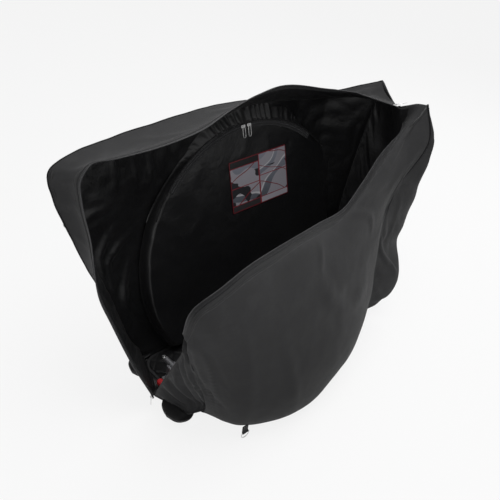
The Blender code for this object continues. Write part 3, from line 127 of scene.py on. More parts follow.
REAR_SHARES = [
    [(1.002, -0.276, 0.073), (1.042, -0.320, 0.132), (1.063, -0.332, 0.209), (1.073, -0.282, 0.275),
     (1.083, -0.212, 0.347), (1.083, -0.236, 0.434), (1.078, -0.262, 0.543), (1.076, -0.284, 0.667),
     (1.082, -0.298, 0.769), (1.085, -0.290, 0.843), (1.078, -0.184, 0.958)],
    [(1.0048, -0.150, 0.073), (1.076, -0.170, 0.209), (1.083, -0.110, 0.350), (1.089, -0.140, 0.550),
     (1.085, -0.140, 0.780), (1.064, -0.105, 0.946)],
    [(1.0048, 0.000, 0.073), (1.073, 0.000, 0.209), (1.083, 0.000, 0.440), (1.089, 0.000, 0.659),
     (1.076, 0.000, 0.800), (1.048, 0.000, 0.918)],
    [(1.0048, 0.150, 0.073), (1.060, 0.150, 0.209), (1.078, 0.130, 0.440), (1.085, 0.120, 0.659),
     (1.078, 0.110, 0.820), (1.059, 0.100, 0.940)],
]

# Shares and seats that the walls keep to
FRONT_FOOT_SHARE = 0.22
FAR_FOOT_END_SHARE = 1.005
BULGE_FRONT_SHARES = (-0.20, 0.25)
BULGE_REAR_SHARES = (0.86, 1.07)
CREASE_SEAM_SHARE = 0.995
BAG_MIDDLE_SHARES = (0.5, 0.0, 0.45)
SEAM_REACH = (0.022, 0.034)
SEAT_GAP = 0.0003
WELT_RADIUS = 0.004
REAR_SEAM_INSET = 0.0035
REAR_SEAM_DROP = 0.004
REAR_PIPING_OFFSET = (0.0010, 0.0032, 0)
SEAM_GROOVE, SEAM_ROWS = 0.0015, 3.0

# How finely the cloth is laid: columns of the frame's own walls, and points for each column
FAR_FRONT_COLUMNS, FAR_TOP_COLUMNS, NEAR_COLUMNS, NEAR_ROWS = 10, 16, 18, 12
GUSSET_COLUMNS, STRAIGHT_COLUMNS = 10, 3
STRIP_ROWS, WALL_ROWS = 14, 70
FINE = 9
FOLD_STEPS = 24
ROLL_SHARE = 0.3

# The simulated cloth, its weight, how many steps it runs and how far inwards it may move
CLOTH = {"vertex_group_mass": "held", "quality": 5, "mass": 0.3, "tension_stiffness": 20,
         "compression_stiffness": 20, "shear_stiffness": 8, "bending_stiffness": 1.5, "use_pressure": True}
CLOTH_GRAVITY = 0.2
CLOTH_STEPS = 18
CLOTH_SINK = 0.002

# Each wall's cloth: grid steps held at its edges, how much too large it is cut, press, cap on its movement
FAR_CLOTH = ((3, 2, 3, 3), 0.012, 0.4, 0.008)
NEAR_CLOTH = ((3, 2, 2, 14), 0.010, 0.5, 0.008)
GUSSET_CLOTH = ((5, 3, 3, 3), 0.03, 0.0, 0.008)
REAR_CLOTH = ((2, 3, 3, 3), 0.015, 0.2, 0.007)

# Soft waves: scale, height and seed, for the outer faces, the linings' own slack and the skirts' scale
FAR_WAVES, FAR_SLACK = ((0.16, 0.0045, 1), (0.05, 0.0012, 2)), (0.06, 0.006, 3)
NEAR_WAVES, NEAR_SLACK = ((0.14, 0.005, 4), (0.045, 0.0011, 5)), (0.07, 0.005, 6)
GUSSET_WAVES, REAR_WAVES, SKIRT_WAVE = (0.06, 0.008, 7), (0.10, 0.007, 8), 0.03

# The gusset's folds fan out from its lower corner: how many, how high, how they wander, where they fade in
FAN_FOLDS, FAN_HEIGHT, FAN_ASPECT, FAN_OFFSET = 24, 0.0058, 1.7, 0.03
FAN_WANDER, FAN_WAVES, FAN_FADE = 2.4, (0.10, 1.0, 9), (0.05, 0.5)

# Trim and stitching: radii, heights above the cloth, widths
PIPING_RADIUS = 0.0036
SEAM_RADIUS, BINDING_RADIUS, BOOT_SEAM_RADIUS = 0.0022, 0.0024, 0.0013
EDGE_SEWING_LIFT, SEWING_LIFT = 0.0007, 0.0008
STITCH_SHARE, STITCH_WIDTH, STITCH_HEIGHT = 0.86, 0.0008, 0.0007
SECOND_ROW = 0.003
SEED_SHAPE = [(0, 0, 0.5), (0.5, 0, 0.15), (0, 0.5, 0.2), (-0.5, 0, 0.15), (0, -0.5, 0.2), (0, 0, -0.5)]
SEED_FACES = [(0, 1, 2), (0, 2, 3), (0, 3, 4), (0, 4, 1), (5, 2, 1), (5, 3, 2), (5, 4, 3), (5, 1, 4)]

# Zips: tape, teeth and the stitching that holds them
TAPE_SEAT, TAPE_BACK, TAPE_OVER, TAPE_THICKNESS = 0.0018, -0.004, 0.0006, 0.0012
BEAD_THICKNESS = 0.003
TOOTH_LEAN, ARCH_TOOTH_LEAN, TOOTH_OVERLAP = 0.25, 0.5, 0.0002
ZIP_SEWING, ZIP_STITCH_WIDTH = 0.0022, 0.0006
ARCH_SEWING = (0.0015, 0.0045)
ARCH_ENDS_DEG = (-47, 41)
TOOTH_SHAPE = [(a, b * (1 - 0.25 * (abs(c) > 0.4)), c) for a in (-0.36, 0.36) for b, c in
               ((-0.5, -0.25), (-0.35, -0.5), (0.35, -0.5), (0.5, -0.25), (0.5, 0.25), (0.35, 0.5),
                (-0.35, 0.5), (-0.5, 0.25))]
TOOTH_FACES = [(7, 6, 5, 4, 3, 2, 1, 0), (8, 9, 10, 11, 12, 13, 14, 15)] + [
    (k, (k + 1) % 8, (k + 1) % 8 + 8, k + 8) for k in range(8)]

# Skirts under the bag's ends
SKIRT_TUCK, SKIRT_SAG, SKIRT_LAP = 0.002, 0.006, 0.075
FRONT_SKIRT_OUT, REAR_SKIRT_OUT = (-0.45, 0.0, -0.9), (0.0, 0.0, -1.0)

# Wheel pockets: the far one's flat face, as the frame has it, its gathered band, and the near one's place
POCKET_PLANE_SHARES = (0.30, 0.86)
POCKET_DEPTH_LOW, POCKET_DEPTH_TOP = 0.0905, 0.0250
POCKET_LEAST = 0.007
POCKET_LIMIT_SHARES = (0.07, 0.97)
POCKET_RIM_SHARE, NEAR_RIM_SHARE = 0.965, 0.94
POCKET_RINGS = np.concatenate([np.linspace(0, 0.96, 60), np.linspace(POCKET_RIM_SHARE, 1, 10)])
NEAR_POCKET_RINGS = np.concatenate([np.linspace(0, NEAR_RIM_SHARE, 36), np.linspace(0.955, 1, 8)])
POCKET_SIDES, NEAR_POCKET_SIDES = 280, 160
POCKET_WAVES, NEAR_POCKET_WAVE = ((0.11, 0.006), (0.035, 0.0015)), (0.07, 0.004)
WAVE_DEPTH, NEAR_POCKET_SEAT = 0.03, 0.002
ARCH_CENTRE_X_SHARE = 0.561
ARCH_DROP_SHARE = 0.1711
CARD_CORNER_SHARES = (0.470, 0.537)
CARD_THICKNESS, CARD_CORNER = 0.001, 0.004
MAT_MARGIN = 0.012
CAST_BACK = 0.30
GATHER_ENDS_DEG = (-60, 52)
GATHER_FULLNESS = 0.6
GATHER_PLEATS = 34
GATHER_GRID = (640, 14)
GATHER_UNDERLAP, GATHER_NARROW, GATHER_SWELL = 0.010, 0.012, 0.054
GATHER_MIDDLE_DEG, GATHER_FULL_DEG, GATHER_BROAD_DEG = 3.0, 24.0, 30.0
GATHER_THICKNESS = 0.0015
RIM_PIPING_INSET = 0.004
NEAR_POCKET_SHARES = (0.42, -0.30, 0.37)
NEAR_POCKET_LEAN_DEG = 8.0

# Base mat and corner boots: x, y, how deep and how broad each boot is beside the plain radii
MAT_GRID, MAT_CORNER = (240, 66), 0.048
QUILT_PITCH, QUILT_DEPTH, QUILT_SOFTNESS = 0.075, 0.0022, 0.06
BOOTS = {"near_corner_boot": (0.016, -0.098, 1.0, 1.10), "far_corner_boot": (0.030, 0.145, 0.84, 0.84)}
BOOT_RADII = (0.052, 0.058, 0.050)
BOOT_CENTRE_Z = 0.075
BOOT_OVERLAP = 0.022
BOOT_CROWN_SHARE = 0.26
BOOT_UNEVEN, BOOT_WAVE = 0.022, 0.025
BOOT_FRONT_CLEAR, BOOT_SIDE_CLEAR, BOOT_SLOPE = 0.004, 0.012, 0.7

# Hardware: the nodes in each finish, steel for the rest, and those of bent wire
CASTERS = ("front_near", "front_far", "rear_near", "rear_far")
HARDWARE = {
    "black_plastic": ["base_board"] + [f"{caster}_caster_fork" for caster in CASTERS],
    "aluminium": ["keel", "fork_mount", "rear_carriage", "front_lever", "rear_lever"],
    "red_plastic": ["keel_cap_front", "keel_cap_rear"],
    "rubber": [f"{caster}_caster_wheel" for caster in CASTERS],
}
WIRES = ["front_zip_pull", "rear_zip_pull", "arch_front_pull", "arch_rear_pull", "rear_near_ring",
         "near_bottom_ring", "far_front_ring"]
STRAPS = {"rear_near_tab": "root", "near_bottom_tab": "near_side", "far_front_tab": "root",
          "rear_handle": "root"}
WELD = 0.00002
SHARP_DEG, EDGE_DEG = 50, 35
BOOT_ROUNDING, BOARD_ROUNDING, STRAP_ROUNDING, HARD_ROUNDING = 0.004, 0.002, 0.0007, 0.0005

# Stage: lamps by place, size and share of the key light's power, what they point at, and the floor
LAMPS = {"key": ((0.1, -0.5, 3.3), 2.0, 1.0), "side": ((-2.3, -1.3, 2.0), 1.8, 0.22),
         "back": ((2.5, 0.5, 2.2), 1.8, 0.55)}
LAMPS_AIM = (0, 0, 0.45)
FLOOR_RADIUS = 40.0
FLOOR_GLOW = 0.84


class BagSizes(bpy.types.PropertyGroup):
    """Sizes of the bag that its cloth follows."""
    length: FloatProperty(name="Length", description="Overall length that the outlines follow",
                          default=1.03, unit="LENGTH")
    width: FloatProperty(name="Width", description="Overall width that the outlines follow",
                         default=0.536, unit="LENGTH")
    height: FloatProperty(name="Height", description="Overall height that the outlines follow",
                          default=0.976, unit="LENGTH")
    wall: FloatProperty(name="Wall", description="Thickness of the padded walls",
                        default=0.007, unit="LENGTH")
    gusset: FloatProperty(name="Gusset", description="Thickness of the gusset and the rear end",
                          default=0.005, unit="LENGTH")
    bulge: FloatProperty(name="Bulge", description="How far the far wall bellies out",
                         default=0.058, unit="LENGTH")
    strip_bulge: FloatProperty(name="Strip bulge", description="How far the strip above the far seam arches",
                               default=0.018, unit="LENGTH")
    tape: FloatProperty(name="Zip tape", description="Width of a zip tape beside its teeth",
                        default=0.010, unit="LENGTH")
    teeth: FloatProperty(name="Teeth", description="Width of one row of zip teeth",
                         default=0.004, unit="LENGTH")
    tooth_pitch: FloatProperty(name="Tooth pitch", description="Distance from one zip tooth to the next",
                               default=0.0022, unit="LENGTH")
    stitch: FloatProperty(name="Stitch", description="Length of one topstitch",
                          default=0.0032, unit="LENGTH")
    stitch_inset: FloatProperty(name="Stitch inset", description="Distance from an edge to its topstitching",
                                default=0.0175, unit="LENGTH")
    band: FloatProperty(name="Band", description="Width of the turned-in band along the zip edges",
                        default=0.020, unit="LENGTH")
    pocket_radius: FloatProperty(name="Pocket radius", description="Radius of the far wheel pocket",
                                 default=0.500, unit="LENGTH")
    arch_radius: FloatProperty(name="Arch radius", description="Radius of the pocket's arched zip",
                               default=0.481, unit="LENGTH")
    near_pocket_radius: FloatProperty(name="Near pocket radius", default=0.270, unit="LENGTH",
                                      description="Radius of the near wheel pocket")
    near_pocket_rise: FloatProperty(name="Near pocket rise", description="How far the near pocket domes",
                                    default=0.030, unit="LENGTH")


class BagColours(bpy.types.PropertyGroup):
    """Colours of the bag's materials."""
    outer: FloatVectorProperty(name="Outer fabric", description="Dark grey woven polyester", subtype="COLOR",
                               default=(0.042, 0.042, 0.043), min=0, max=1)
    lining: FloatVectorProperty(name="Lining", description="Black coated nylon", subtype="COLOR",
                                default=(0.0060, 0.0060, 0.0065), min=0, max=1)
    webbing: FloatVectorProperty(name="Webbing", description="Black webbing and zip tape", subtype="COLOR",
                                 default=(0.010, 0.010, 0.011), min=0, max=1)
    thread: FloatVectorProperty(name="Thread", description="Topstitching", subtype="COLOR",
                                default=(0.070, 0.070, 0.073), min=0, max=1)
    accent: FloatVectorProperty(name="Accent", description="Moulded red plastic", subtype="COLOR",
                                default=(0.45, 0.020, 0.025), min=0, max=1)
    card_edge: FloatVectorProperty(name="Card lines", description="Dark red lines on the card",
                                   subtype="COLOR", default=(0.20, 0.022, 0.030), min=0, max=1)
    card_paper: FloatVectorProperty(name="Card panels", description="Pale panels on the card",
                                    subtype="COLOR", default=(0.28, 0.27, 0.30), min=0, max=1)


class BagView(bpy.types.PropertyGroup):
    """Camera and light."""
    azimuth: FloatProperty(name="Azimuth", description="Direction that the camera looks from",
                           default=math.radians(-45.6412), subtype="ANGLE")
    elevation: FloatProperty(name="Elevation", description="Height of the camera as an angle",
                             default=math.radians(35.7383), subtype="ANGLE")
    roll: FloatProperty(name="Roll", description="Tilt of the camera about its own line of sight",
                        default=math.radians(6.6075), subtype="ANGLE")
    distance: FloatProperty(name="Distance", description="From the camera to what it looks at",
                            default=2.4502, unit="LENGTH")
    target: FloatVectorProperty(name="Target", description="What the camera looks at, in the bag's own frame",
                                default=(0.41547, 0.03595, 0.49337), subtype="TRANSLATION")
    lens: FloatProperty(name="Lens", description="Focal length on a 36 mm sensor, in millimetres",
                        default=50.0)
    floor: FloatVectorProperty(name="Floor", description="Colour of the studio floor", subtype="COLOR",
                               default=(0.88, 0.88, 0.88), min=0, max=1)
    key: FloatProperty(name="Key light", description="Power of the softbox above", default=42.0, unit="POWER")
    fill: FloatProperty(name="Fill light", description="Strength of the light from all round", default=0.40)


def sizes():
    return bpy.context.scene.bag_sizes


def colours():
    return bpy.context.scene.bag_colours


# Smooth lines and cloth grids

def places(shares):
    """Points of the bag from shares of its overall sizes."""
    bag = sizes()
    return np.array(shares) * np.array([bag.length, bag.width, bag.height])


def reach_of(path):
    """How far along a path each of its points lies."""
    return np.concatenate([[0.0], np.cumsum(np.linalg.norm(np.diff(path, axis=0), axis=1))])


def drop_of(grid):
    """How far down a cloth each of its points lies."""
    down = np.linalg.norm(np.diff(grid, axis=0), axis=-1)
    return np.vstack([np.zeros(grid.shape[1]), np.cumsum(down, axis=0)])


def smooth_at(points, shares):
    """Places on a smooth curve through the points, at shares of its length."""
    points = np.asarray(points, float)
    reach = reach_of(points)
    slopes = np.empty_like(points)
    slopes[0] = (points[1] - points[0]) / (reach[1] - reach[0])
    slopes[-1] = (points[-1] - points[-2]) / (reach[-1] - reach[-2])
    slopes[1:-1] = (points[2:] - points[:-2]) / (reach[2:] - reach[:-2])[:, None]
    along = np.asarray(shares, float) * reach[-1]
    i = np.clip(np.searchsorted(reach, along, side="right") - 1, 0, len(points) - 2)
    span = (reach[i + 1] - reach[i])[:, None]
    t = (along - reach[i])[:, None] / span
    return ((2 * t**3 - 3 * t**2 + 1) * points[i] + (t**3 - 2 * t**2 + t) * span * slopes[i]
            + (3 * t**2 - 2 * t**3) * points[i + 1] + (t**3 - t**2) * span * slopes[i + 1])


def even(count):
    return np.linspace(0.0, 1.0, count + 1)


def loft(guides, along, down):
    """A grid of points: each guide is read at the shares along, smooth curves join the guides."""
    rails = np.array([smooth_at(guide, along) for guide in guides])
    return np.stack([smooth_at(rails[:, i], down) for i in range(len(along))], axis=1)


def unit(vectors):
    return vectors / np.maximum(np.linalg.norm(vectors, axis=-1, keepdims=True), 1e-9)


def outward_of(grid, inside):
    """The normals of a cloth's points, turned away from a place inside the bag."""
    normals = unit(np.cross(np.gradient(grid, axis=1), np.gradient(grid, axis=0)))
    if np.sum(normals * (grid - inside)) < 0:
        normals = -normals
    return normals


def rounded_row(grid, row):
    """Where subdivision lays a row of a cloth that bends sharply there."""
    return (grid[row - 1] + 4 * grid[row] + grid[row + 1]) / 6


def inset_line(grid, distance):
    """The line on a cloth that keeps a distance from its first edge."""
    reach = drop_of(grid)
    return np.array([[np.interp(distance, reach[:, c], grid[:, c, k]) for k in range(3)]
                     for c in range(grid.shape[1])])


def ease(line, rounds):
    """Evens out a line in place, its ends kept."""
    for _ in range(rounds):
        line[1:-1] = (line[:-2] + 2 * line[1:-1] + line[2:]) / 4
    return line


def smooth_step(value, low, high):
    t = np.clip((value - low) / (high - low), 0.0, 1.0)
    return t * t * (3 - 2 * t)


def on_grid(grid, along, down):
    """The place on a cloth at shares along and down it."""
    rows, columns = grid.shape[:2]
    r, c = down * (rows - 1), along * (columns - 1)
    i, j = min(int(r), rows - 2), min(int(c), columns - 2)
    a, b = r - i, c - j
    top = grid[i, j] * (1 - b) + grid[i, j + 1] * b
    low = grid[i + 1, j] * (1 - b) + grid[i + 1, j + 1] * b
    return top * (1 - a) + low * a


def fold_rise(grid, folds):
    """How far folds lift a cloth. A fold is its line in shares along and down, its width and its height."""
    rise = np.zeros(grid.shape[:2])
    for line, width, height in folds:
        path = np.array([on_grid(grid, a, d) for a, d in line])
        path = smooth_at(path, even(FOLD_STEPS))
        apart = np.linalg.norm(grid[:, :, None] - path[None, None], axis=-1)
        nearest = apart.min(axis=-1)
        share = apart.argmin(axis=-1) / FOLD_STEPS
        taper = np.sin(np.pi * np.clip(share, 0.02, 0.98)) ** 0.7
        ridge = np.exp(-(nearest / width) ** 2) - 0.35 * np.exp(-(nearest / width / 2.2) ** 2)
        rise += height * ridge * taper
    return rise


def unevenness(grid, scale, height, seed):
    """Soft irregular waves over a cloth, from smooth noise of a given scale."""
    offset = Vector((seed * 3.7, seed * 1.3, seed * 5.1))
    flat = [noise.noise(Vector(p) / scale + offset) for p in grid.reshape(-1, 3)]
    return np.array(flat).reshape(grid.shape[:2]) * height


def edge_fade(grid, top, low, front, rear):
    """From 0 at the named edges to 1 within the cloth, over a distance given in grid steps."""
    rows, columns = grid.shape[:2]
    fade = np.ones((rows, columns))
    down, along = np.arange(rows)[:, None], np.arange(columns)[None, :]
    for count, steps in ((top, down), (low, rows - 1 - down), (front, along), (rear, columns - 1 - along)):
        if count:
            fade = fade * smooth_step(steps, 0, count)
    return fade


def grid_faces(rows, columns):
    corners = [r * columns + c for r in range(rows - 1) for c in range(columns - 1)]
    return [(i, i + 1, i + columns + 1, i + columns) for i in corners]


def crumple(grid, outward, fade, growth, press, cap):
    """Lets a cloth that is cut a little too large wrinkle between its held edges; no point moves past cap."""
    scene = bpy.context.scene
    mesh = bpy.data.meshes.new("cloth")
    mesh.from_pydata([tuple(p) for p in grid.reshape(-1, 3)], [], grid_faces(*grid.shape[:2]))
    thing = bpy.data.objects.new("cloth", mesh)
    scene.collection.objects.link(thing)
    held = thing.vertex_groups.new(name="held")
    for index, free in enumerate(fade.ravel()):
        if free < 1:
            held.add([index], 1.0 - float(free), "REPLACE")
    cloth = thing.modifiers.new("cloth", "CLOTH")
    for name, value in {**CLOTH, "shrink_min": -growth, "uniform_pressure_force": press}.items():
        setattr(cloth.settings, name, value)
    cloth.settings.effector_weights.gravity = CLOTH_GRAVITY
    cloth.collision_settings.use_collision = False
    cloth.point_cache.frame_end = CLOTH_STEPS
    for step in range(1, CLOTH_STEPS + 1):
        scene.frame_set(step)
    made = thing.evaluated_get(bpy.context.evaluated_depsgraph_get()).to_mesh()
    moved = np.empty(len(made.vertices) * 3)
    made.vertices.foreach_get("co", moved)
    move = moved.reshape(grid.shape) - grid
    length = np.maximum(np.linalg.norm(move, axis=-1, keepdims=True), 1e-9)
    move *= cap * np.tanh(length / cap) / length
    sunk = np.maximum(-(move * outward).sum(axis=-1, keepdims=True) - CLOTH_SINK, 0.0)
    move += outward * sunk
    bpy.data.objects.remove(thing, do_unlink=True)
    bpy.data.meshes.remove(mesh)
    scene.frame_set(1)
    return grid + move


def skin_of(grid, rise, held, growth, press, cap):
    """A wall's outer face, its normals and its fade: the grid lifted by its folds, then crumpled."""
    outward = outward_of(grid, places([BAG_MIDDLE_SHARES])[0])
    fade = edge_fade(grid, *held)
    skin = crumple(grid + outward * (rise * fade)[..., None], outward, fade, growth, press, cap)
    return skin, outward, fade


# Meshes, and what carries them

def near_blend(piece):
    """Bakes the near half's cloth in place; it stays where it was built and does not turn with the swinging
    side.
    """
    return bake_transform(piece)


def gusset_blend(piece):
    """Bakes the front cloth in place; it stays where it was built and does not turn with the swinging side.
    """
    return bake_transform(piece)


def dressed(piece, carrier, slot, *nodes, fill=None):
    """Has a piece ride a body, or be baked in place by one of the blends, and hides the nodes that it stands
    for; the slot is not used.
    """
    if nodes:
        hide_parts(*nodes)
    if callable(carrier):
        carrier(piece)
    else:
        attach(piece, carrier)
    return piece


def add_mesh(name, points, faces, finishes, face_finish=None, coordinates=None, smooth=True):
    """Puts a mesh in the scene, moved from the bag's own frame to the shared one."""
    mesh = bpy.data.meshes.new(name)
    mesh.from_pydata((np.asarray(points, float).reshape(-1, 3) + SHIFT).tolist(), [], faces)
    for finish in finishes:
        mesh.materials.append(finish)
    if face_finish is not None:
        mesh.polygons.foreach_set("material_index", face_finish)
    if coordinates is not None:
        layer = mesh.uv_layers.new(name="cloth")
        loops = np.empty(len(mesh.loops), int)
        mesh.loops.foreach_get("vertex_index", loops)
        layer.data.foreach_set("uv", np.asarray(coordinates, float)[loops].ravel())
    if smooth:
        mesh.shade_smooth()
    thing = bpy.data.objects.new(name, mesh)
    bpy.context.scene.collection.objects.link(thing)
    return thing


def finer(thing, levels=1):
    """Rounds a piece's facets with subdivision."""
    step = thing.modifiers.new("finer", "SUBSURF")
    step.levels = levels
    step.render_levels = levels
    return thing


def bevelled(thing, width, segments, degrees):
    """Rounds a piece's sharp edges."""
    edge = thing.modifiers.new("edge", "BEVEL")
    edge.width, edge.segments = width, segments
    edge.limit_method, edge.angle_limit = "ANGLE", math.radians(degrees)


def loose_parts(shape):
    """The points and faces of a bmesh, which is then let go."""
    shape.verts.ensure_lookup_table()
    points = np.array([tuple(v.co) for v in shape.verts])
    faces = [tuple(v.index for v in f.verts) for f in shape.faces]
    shape.free()
    return points, faces


def metres_of(grid):
    """Cloth coordinates in metres, along and down a grid."""
    along = np.linalg.norm(np.diff(grid, axis=1), axis=-1).mean(axis=0)
    u, v = np.concatenate([[0.0], np.cumsum(along)]), drop_of(grid)
    return np.stack([np.broadcast_to(u, v.shape), v], axis=-1)


def padded_wall(name, outer, inner, face):
    """A closed cloth wall: its outer side in the finish named, its lining, and a rolled edge all round."""
    rows, columns = outer.shape[:2]
    count = rows * columns
    metres = metres_of(outer).reshape(-1, 2)
    faces = grid_faces(rows, columns)
    sides = [0] * len(faces) + [1] * len(faces)
    faces += [(a + count, d + count, c + count, b + count) for a, b, c, d in faces]
    ring = [(0, c) for c in range(columns)] + [(r, columns - 1) for r in range(1, rows)]
    ring += [(rows - 1, c) for c in range(columns - 2, -1, -1)] + [(r, 0) for r in range(rows - 2, 0, -1)]
    rim = []
    for k, (r, c) in enumerate(ring):
        back = outer[min(max(r, 1), rows - 2), min(max(c, 1), columns - 2)]
        push = unit(outer[r, c] - back) * np.linalg.norm(outer[r, c] - inner[r, c]) * ROLL_SHARE
        rim.append((outer[r, c] + inner[r, c]) / 2 + push)
        n = (k + 1) % len(ring)
        a, b = r * columns + c, ring[n][0] * columns + ring[n][1]
        faces.append((b, a, 2 * count + k, 2 * count + n))
        faces.append((2 * count + n, 2 * count + k, a + count, b + count))
        sides += [0, 0]
    points = np.vstack([outer.reshape(-1, 3), inner.reshape(-1, 3), np.array(rim)])
    metres = np.vstack([metres, metres, [metres[r * columns + c] for r, c in ring]])
    thing = add_mesh(name, points, faces, [finish(face), finish("lining")], sides, metres)
    shape = bmesh.new()
    shape.from_mesh(thing.data)
    bmesh.ops.recalc_face_normals(shape, faces=shape.faces)
    shape.to_mesh(thing.data)
    shape.free()
    return thing


def tube_faces(count, steps, closed=False):
    """The faces of a tube of rings with count points each, capped unless it closes on itself."""
    rings = [(r * count, (r + 1) % steps * count) for r in range(steps if closed else steps - 1)]
    faces = [(a + c, a + (c + 1) % count, b + (c + 1) % count, b + c) for a, b in rings for c in range(count)]
    if not closed:
        faces += [tuple(range(count - 1, -1, -1)), tuple(range((steps - 1) * count, steps * count))]
    return faces


def squared(tangent, given):
    """The directions given, made square to a line, and those across both."""
    given = unit(given - tangent * np.sum(given * tangent, axis=1, keepdims=True))
    return given, np.cross(tangent, given)


def trim(name, path, up, radius, sides, carrier="root", face="piping", nodes=(), closed=False):
    """Round trim, such as piping, along a path."""
    path = np.asarray(path, float)
    tangent = unit(np.gradient(path, axis=0))
    if closed:
        tangent = unit(np.roll(path, -1, axis=0) - np.roll(path, 1, axis=0))
    up, side = squared(tangent, np.broadcast_to(np.asarray(up, float), path.shape))
    turns = [2 * math.pi * k / sides for k in range(sides)]
    section = np.array([(radius * math.cos(t), radius * math.sin(t)) for t in turns])
    rings = path[:, None] + side[:, None] * section[None, :, :1] + up[:, None] * section[None, :, 1:]
    metres = np.stack(np.meshgrid(reach_of(path), reach_of(section), indexing="ij"), axis=-1).reshape(-1, 2)
    piece = add_mesh(name, rings, tube_faces(sides, len(path), closed), [finish(face)], coordinates=metres)
    return dressed(piece, carrier, "webbing", *nodes)


def repeated(name, centres, axes, template, faces, face):
    """Many copies of a small shape in one mesh: axes holds each copy's three directions."""
    template = np.asarray(template, float)
    points = centres[:, None] + np.einsum("ncd,kc->nkd", axes, template)
    count = len(template)
    every = [tuple(i * count + k for k in corners) for i in range(len(centres)) for corners in faces]
    return add_mesh(name, points, every, [finish(face)])


def evenly(pitch, path, carried):
    """Points every pitch along a path, and what is carried along it read at the same places."""
    reach = reach_of(path)
    at = np.arange(pitch / 2, reach[-1], pitch)
    return [np.stack([np.interp(at, reach, values[:, k]) for k in range(3)], axis=1)
            for values in (path, carried)]


def stitches(name, path, up, width=STITCH_WIDTH):
    """A row of topstitches lying on a cloth, along a path."""
    length = sizes().stitch
    centres, ups = evenly(length, path, np.broadcast_to(up, path.shape))
    tangent = unit(np.gradient(centres, axis=0))
    ups, side = squared(tangent, ups)
    axes = np.stack([tangent * length * STITCH_SHARE, side * width, ups * STITCH_HEIGHT], axis=1)
    return repeated(name, centres, axes, SEED_SHAPE, SEED_FACES, "thread")


def edge_stitching(side, skin, outward, span, carrier):
    """Two rows of topstitching along a wall's zip edge."""
    bag = sizes()
    for number, distance in enumerate((bag.stitch_inset, bag.band + SECOND_ROW), 1):
        line = inset_line(skin, distance) + outward[2] * EDGE_SEWING_LIFT
        row = stitches(f"{side}_edge_stitching_{number}", line[span], outward[2][span])
        dressed(row, carrier, "outer_fabric")


def teeth(name, path, across, width, lean):
    """A row of coil teeth centred on a path, as wide as given along across."""
    pitch = sizes().tooth_pitch
    centres, sideways = evenly(pitch, path, across)
    tangent = unit(np.gradient(centres, axis=0))
    sideways, up = squared(tangent, sideways)
    slant = unit(sideways + tangent * lean)
    axes = np.stack([tangent * pitch, slant * width, up * BEAD_THICKNESS], axis=1)
    return repeated(name, centres, axes, TOOTH_SHAPE, TOOTH_FACES, "zip_teeth")


def tape(name, path, across, up, low, high):
    """A flat zip tape between two distances from its path."""
    steps = np.linspace(low, high, 5)
    section = [(a, -TAPE_THICKNESS / 2) for a in steps] + [(a, TAPE_THICKNESS / 2) for a in steps[::-1]]
    rings = np.array([[p + s * a + u * b for a, b in section] for p, s, u in zip(path, across, up)])
    metres = [(u, a) for u in reach_of(path) for a, _ in section]
    faces = tube_faces(len(section), len(path))
    thing = add_mesh(name, rings, faces, [finish("zip_tape")], coordinates=metres)
    thing.data.set_sharp_from_angle(angle=math.radians(SHARP_DEG))
    return thing


# Materials

class Value:
    """A shader socket that Python's operators work on."""

    def __init__(self, finish, socket):
        self.finish, self.socket = finish, socket

    def maths(self, operation, *others):
        return self.finish.node("ShaderNodeMath", {"operation": operation}, dict(enumerate((self,) + others)))

    def reflected(self, operation, other):
        return self.finish.node("ShaderNodeMath", {"operation": operation}, {0: other, 1: self})

    def __add__(self, other):
        return self.maths("ADD", other)

    def __sub__(self, other):
        return self.maths("SUBTRACT", other)

    def __rsub__(self, other):
        return self.reflected("SUBTRACT", other)

    def __mul__(self, other):
        return self.maths("MULTIPLY", other)

    def __truediv__(self, other):
        return self.maths("DIVIDE", other)

    def __rtruediv__(self, other):
        return self.reflected("DIVIDE", other)

    def __mod__(self, other):
        return self.maths("FLOORED_MODULO", other)

    def __rmod__(self, other):
        return self.reflected("FLOORED_MODULO", other)

    def __abs__(self):
        return self.maths("ABSOLUTE")

    def __lt__(self, other):
        return self.maths("LESS_THAN", other)

    def __gt__(self, other):
        return self.maths("GREATER_THAN", other)

    def sine(self):
        return self.maths("SINE")

    def floor(self):
        return self.maths("FLOOR")

    def larger(self, other):
        return self.maths("MAXIMUM", other)

    __radd__ = __add__
    __rmul__ = __mul__


class Nodes:
    """A node tree being written, with one method for any node."""

    def __init__(self, tree):
        self.tree = tree

    def feed(self, socket, value):
        if isinstance(value, Value):
            self.tree.links.new(value.socket, socket)
        elif hasattr(value, "__len__") and len(value) == 3 and socket.type == "RGBA":
            socket.default_value = (*value, 1.0)
        else:
            socket.default_value = value

    def node(self, kind, settings=None, values=None, output=0):
        """Adds a node: its settings first, then the values or links of its sockets."""
        made = self.tree.nodes.new(kind)
        for name, value in (settings or {}).items():
            if name == "stops":
                while len(made.color_ramp.elements) < len(value):
                    made.color_ramp.elements.new(0.5)
                for element, (place, shade) in zip(made.color_ramp.elements, value):
                    element.position, element.color = place, (shade, shade, shade, 1.0)
            else:
                setattr(made, name, value)
        for key, value in (values or {}).items():
            self.feed(made.inputs[key], value)
        return Value(self, made.outputs[output])

    def seen_directly(self):
        """One where the camera looks at this, also by a mirror or through glass, and nothing elsewhere."""
        rays = [self.node("ShaderNodeLightPath", output=name) for name in
                ("Is Camera Ray", "Is Glossy Ray", "Is Transmission Ray")]
        return rays[0].larger(rays[1]).larger(rays[2])


